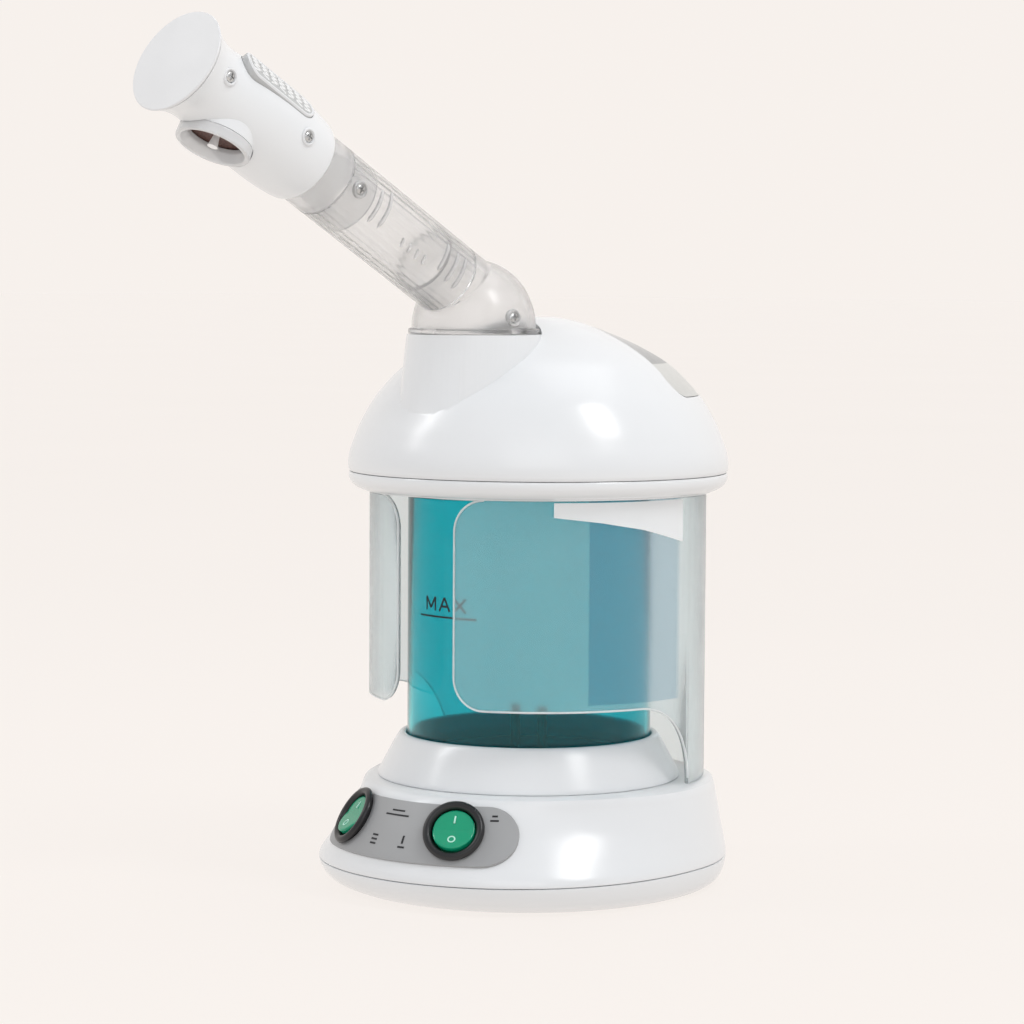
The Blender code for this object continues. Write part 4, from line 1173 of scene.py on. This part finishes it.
def surface_place(along, turn, radius):
    spin = spun(turn, "Z")
    return ARM @ moved(0, 0, along) @ spin @ moved(radius, 0, 0) @ spun(90, "Y")


def make_screw(name, place, body, look, well):
    """A domed cross-head screw in a raised moulded ring."""
    profile = [
        (0.0, -1.2), (1.2, -1.2), (1.2, -0.3), (2.3, -0.3),
        (2.3, 0.25), (1.7, 0.75), (0.9, 0.98), (0.0, 1.05),
    ]
    screw = turned(f"{name}_head", rounded(profile, 0.25), look["steel"], SMALL, place)
    bars = []
    for turn in (0.0, 90.0):
        blade = [[(-1.6, -0.34, z), (1.6, -0.34, z), (1.6, 0.34, z), (-1.6, 0.34, z)] for z in (-0.1, 3.0)]
        turned_place = place @ spun(turn, "Z")
        bars.append(skinned(f"slot_{turn:.0f}", blade, None, place=turned_place))
    cut(screw, bars)
    place_piece(screw, body, "steel", name)
    ring = [(2.5, -1.4), (3.8, -1.4), (3.8, 0.45), (3.3, 0.85), (2.9, 0.85), (2.5, 0.3)]
    made = turned(f"{name}_well", rounded(ring, 0.2, ends=True), look[well], SMALL, place)
    place_piece(made, body, "arm_translucent" if well == "rib" else "white_gloss")


def make_screws(look):
    make_screw("tube_screw", surface_place(88.6, -5.0, TUBE_R), "arm", look, "rib")
    make_screw("nozzle_screw_1", surface_place(128.1, 1.0, 20.1), "nozzle", look, "white_satin")
    make_screw("nozzle_screw_2", surface_place(175.0, 1.0, 17.7), "nozzle", look, "white_satin")
    outward = direction(82.0, 9.6)
    place = outward.to_track_quat("Z", "Y").to_matrix().to_4x4()
    place.translation = (Vector((0, TURRET_Y, ELBOW_Z)) + outward * (ELBOW_R + 0.1)) * MM
    make_screw("elbow_screw", place, "arm", look, "rib")


# ---- CAD nodes that keep their shape ----


def dress_nodes(look):
    """Gives the CAD nodes that stay visible, mostly inner pieces, their finished materials."""
    looks = {
        "rubber": ["cord_gland"] + [f"foot_{i}" for i in range(1, 5)],
        "steel": ["heater_plate", "thermostat"],
        "dish": ["boiling_dish"],
        "burnt": ["heating_element", "level_probe_1", "level_probe_2"],
        "dark": ["ion_module", "relay"]
        + [f"{name}_{side}" for name in ("lamp_socket", "lamp_post", "switch_terminals") for side in SIDES]
        + [f"board_post_{i}" for i in range(1, 5)],
        "red": ["thermal_fuse"],
        "board": ["control_board"],
        "seal": ["jar_gasket", "steam_duct"],
        "lamp": ["ozone_lamp"],
        "screen": ["outlet_grille"],
    }
    for finish, names in looks.items():
        for name in names:
            mesh = NODES[name].data
            mesh.materials.clear()
            mesh.materials.append(look[finish])
            mesh.shade_smooth()
            mesh.set_sharp_from_angle(angle=math.radians(35))


# ---- stage, light and camera ----

CAMERA_TURN = 41.255  # degrees from the front towards +X
CAMERA_REACH = 1484.1
CAMERA_HEIGHT = 272.4
CAMERA_PITCH = -4.115
CAMERA_YAW = -0.448
CAMERA_ROLL = 0.33
LENS_MM = 116.31

PAGE_TONE = (0.93, 0.88, 0.842)
DIM_SIDE = (0.62, 0.635, 0.66)
FLOOR_TONE = (0.1, 0.095, 0.09)
FLOOR_TONE_2 = (0.11, 0.104, 0.099)
FLOOR_GLOW = 0.873
LIGHT_TARGET = Vector((0.0, 0.0, 0.2))
LIGHTS = (
    # name, degrees from the front towards +X, degrees above the floor, distance, size, power
    ("key_right", 92.0, 48.0, 1.4, (0.32, 0.55), 5.4),
    ("fill_left", -46.0, 38.0, 1.4, (0.16, 0.6), 2.6),
    ("top_soft", 150.0, 75.0, 1.6, (0.9, 0.9), 3.4),
    ("front_soft", 41.0, 26.0, 2.0, (1.3, 1.0), 4.0),
)


def turned_pair(first, second, angle):
    """Turns two square directions in their own plane, the first towards the second."""
    return (
        first * math.cos(angle) + second * math.sin(angle),
        second * math.cos(angle) - first * math.sin(angle),
    )


def make_camera():
    back = direction(CAMERA_TURN)
    right, up, ahead = UP.cross(back), UP, -back
    yaw, pitch, roll = (math.radians(v) for v in (CAMERA_YAW, CAMERA_PITCH, CAMERA_ROLL))
    ahead, right = turned_pair(ahead, right, yaw)
    ahead, up = turned_pair(ahead, up, pitch)
    right, up = turned_pair(right, up, roll)
    data = bpy.data.cameras.new("camera")
    data.lens = LENS_MM
    data.sensor_width = 36.0
    data.clip_end = 50.0
    camera = bpy.data.objects.new("camera", data)
    camera.matrix_world = placed(right, up, -ahead, (back * CAMERA_REACH + UP * CAMERA_HEIGHT) * MM)
    bpy.context.collection.objects.link(camera)
    bpy.context.scene.camera = camera


def area_light(name, place, target, size, power):
    data = bpy.data.lights.new(name, "AREA")
    data.shape = "RECTANGLE"
    data.size, data.size_y = size
    data.energy = power
    made = bpy.data.objects.new(name, data)
    made.visible_camera = False
    made.location = place
    made.rotation_euler = (target - place).to_track_quat("-Z", "Y").to_euler()
    bpy.context.collection.objects.link(made)


def make_floor():
    made, tree, shader = shader_of("pale_floor")
    tint(tree, shader, object_coords(tree), 1.5, 2.0, FLOOR_TONE, FLOOR_TONE_2)
    shader.inputs["Roughness"].default_value = 0.9
    shader.inputs["Specular IOR Level"].default_value = 0.1
    shader.inputs["Emission Color"].default_value = (*PAGE_TONE, 1.0)
    shader.inputs["Emission Strength"].default_value = FLOOR_GLOW
    bm = bmesh.new()
    bmesh.ops.create_grid(bm, x_segments=2, y_segments=2, size=30000.0)
    finish_mesh("floor", bm, made, moved(0, 0, -0.4))


def make_world():
    """Pale all round, and a little dimmer in front, so that rounded white shapes keep their shading."""
    world = bpy.data.worlds.new("studio")
    bpy.context.scene.world = world
    world.use_nodes = True
    tree = world.node_tree
    coords = tree.nodes.new("ShaderNodeTexCoord")
    facing = tree.nodes.new("ShaderNodeVectorMath")
    facing.operation = "DOT_PRODUCT"
    facing.inputs[1].default_value = -direction(CAMERA_TURN)
    tree.links.new(coords.outputs["Generated"], facing.inputs[0])
    share = mapped(tree, facing.outputs["Value"], 0.0, 1.0, -0.3, 0.8)
    tone = mixed_colour(tree, share, DIM_SIDE, PAGE_TONE)
    tree.links.new(tone, tree.nodes["Background"].inputs["Color"])


def make_stage():
    make_floor()
    make_world()
    bpy.context.scene.view_settings.view_transform = "Standard"
    for name, turn, rise, reach, size, power in LIGHTS:
        area_light(name, LIGHT_TARGET + direction(turn, rise) * reach, LIGHT_TARGET, size, power)


def main():
    look = make_materials()
    make_camera()
    make_stage()
    for make in (
        make_pan, make_housing, make_panel, make_switches, make_collar, make_jar, make_guard, make_dome,
        make_tray, make_elbow, make_tube, make_nozzle, make_outlet, make_screws, dress_nodes,
    ):
        make(look)


main()
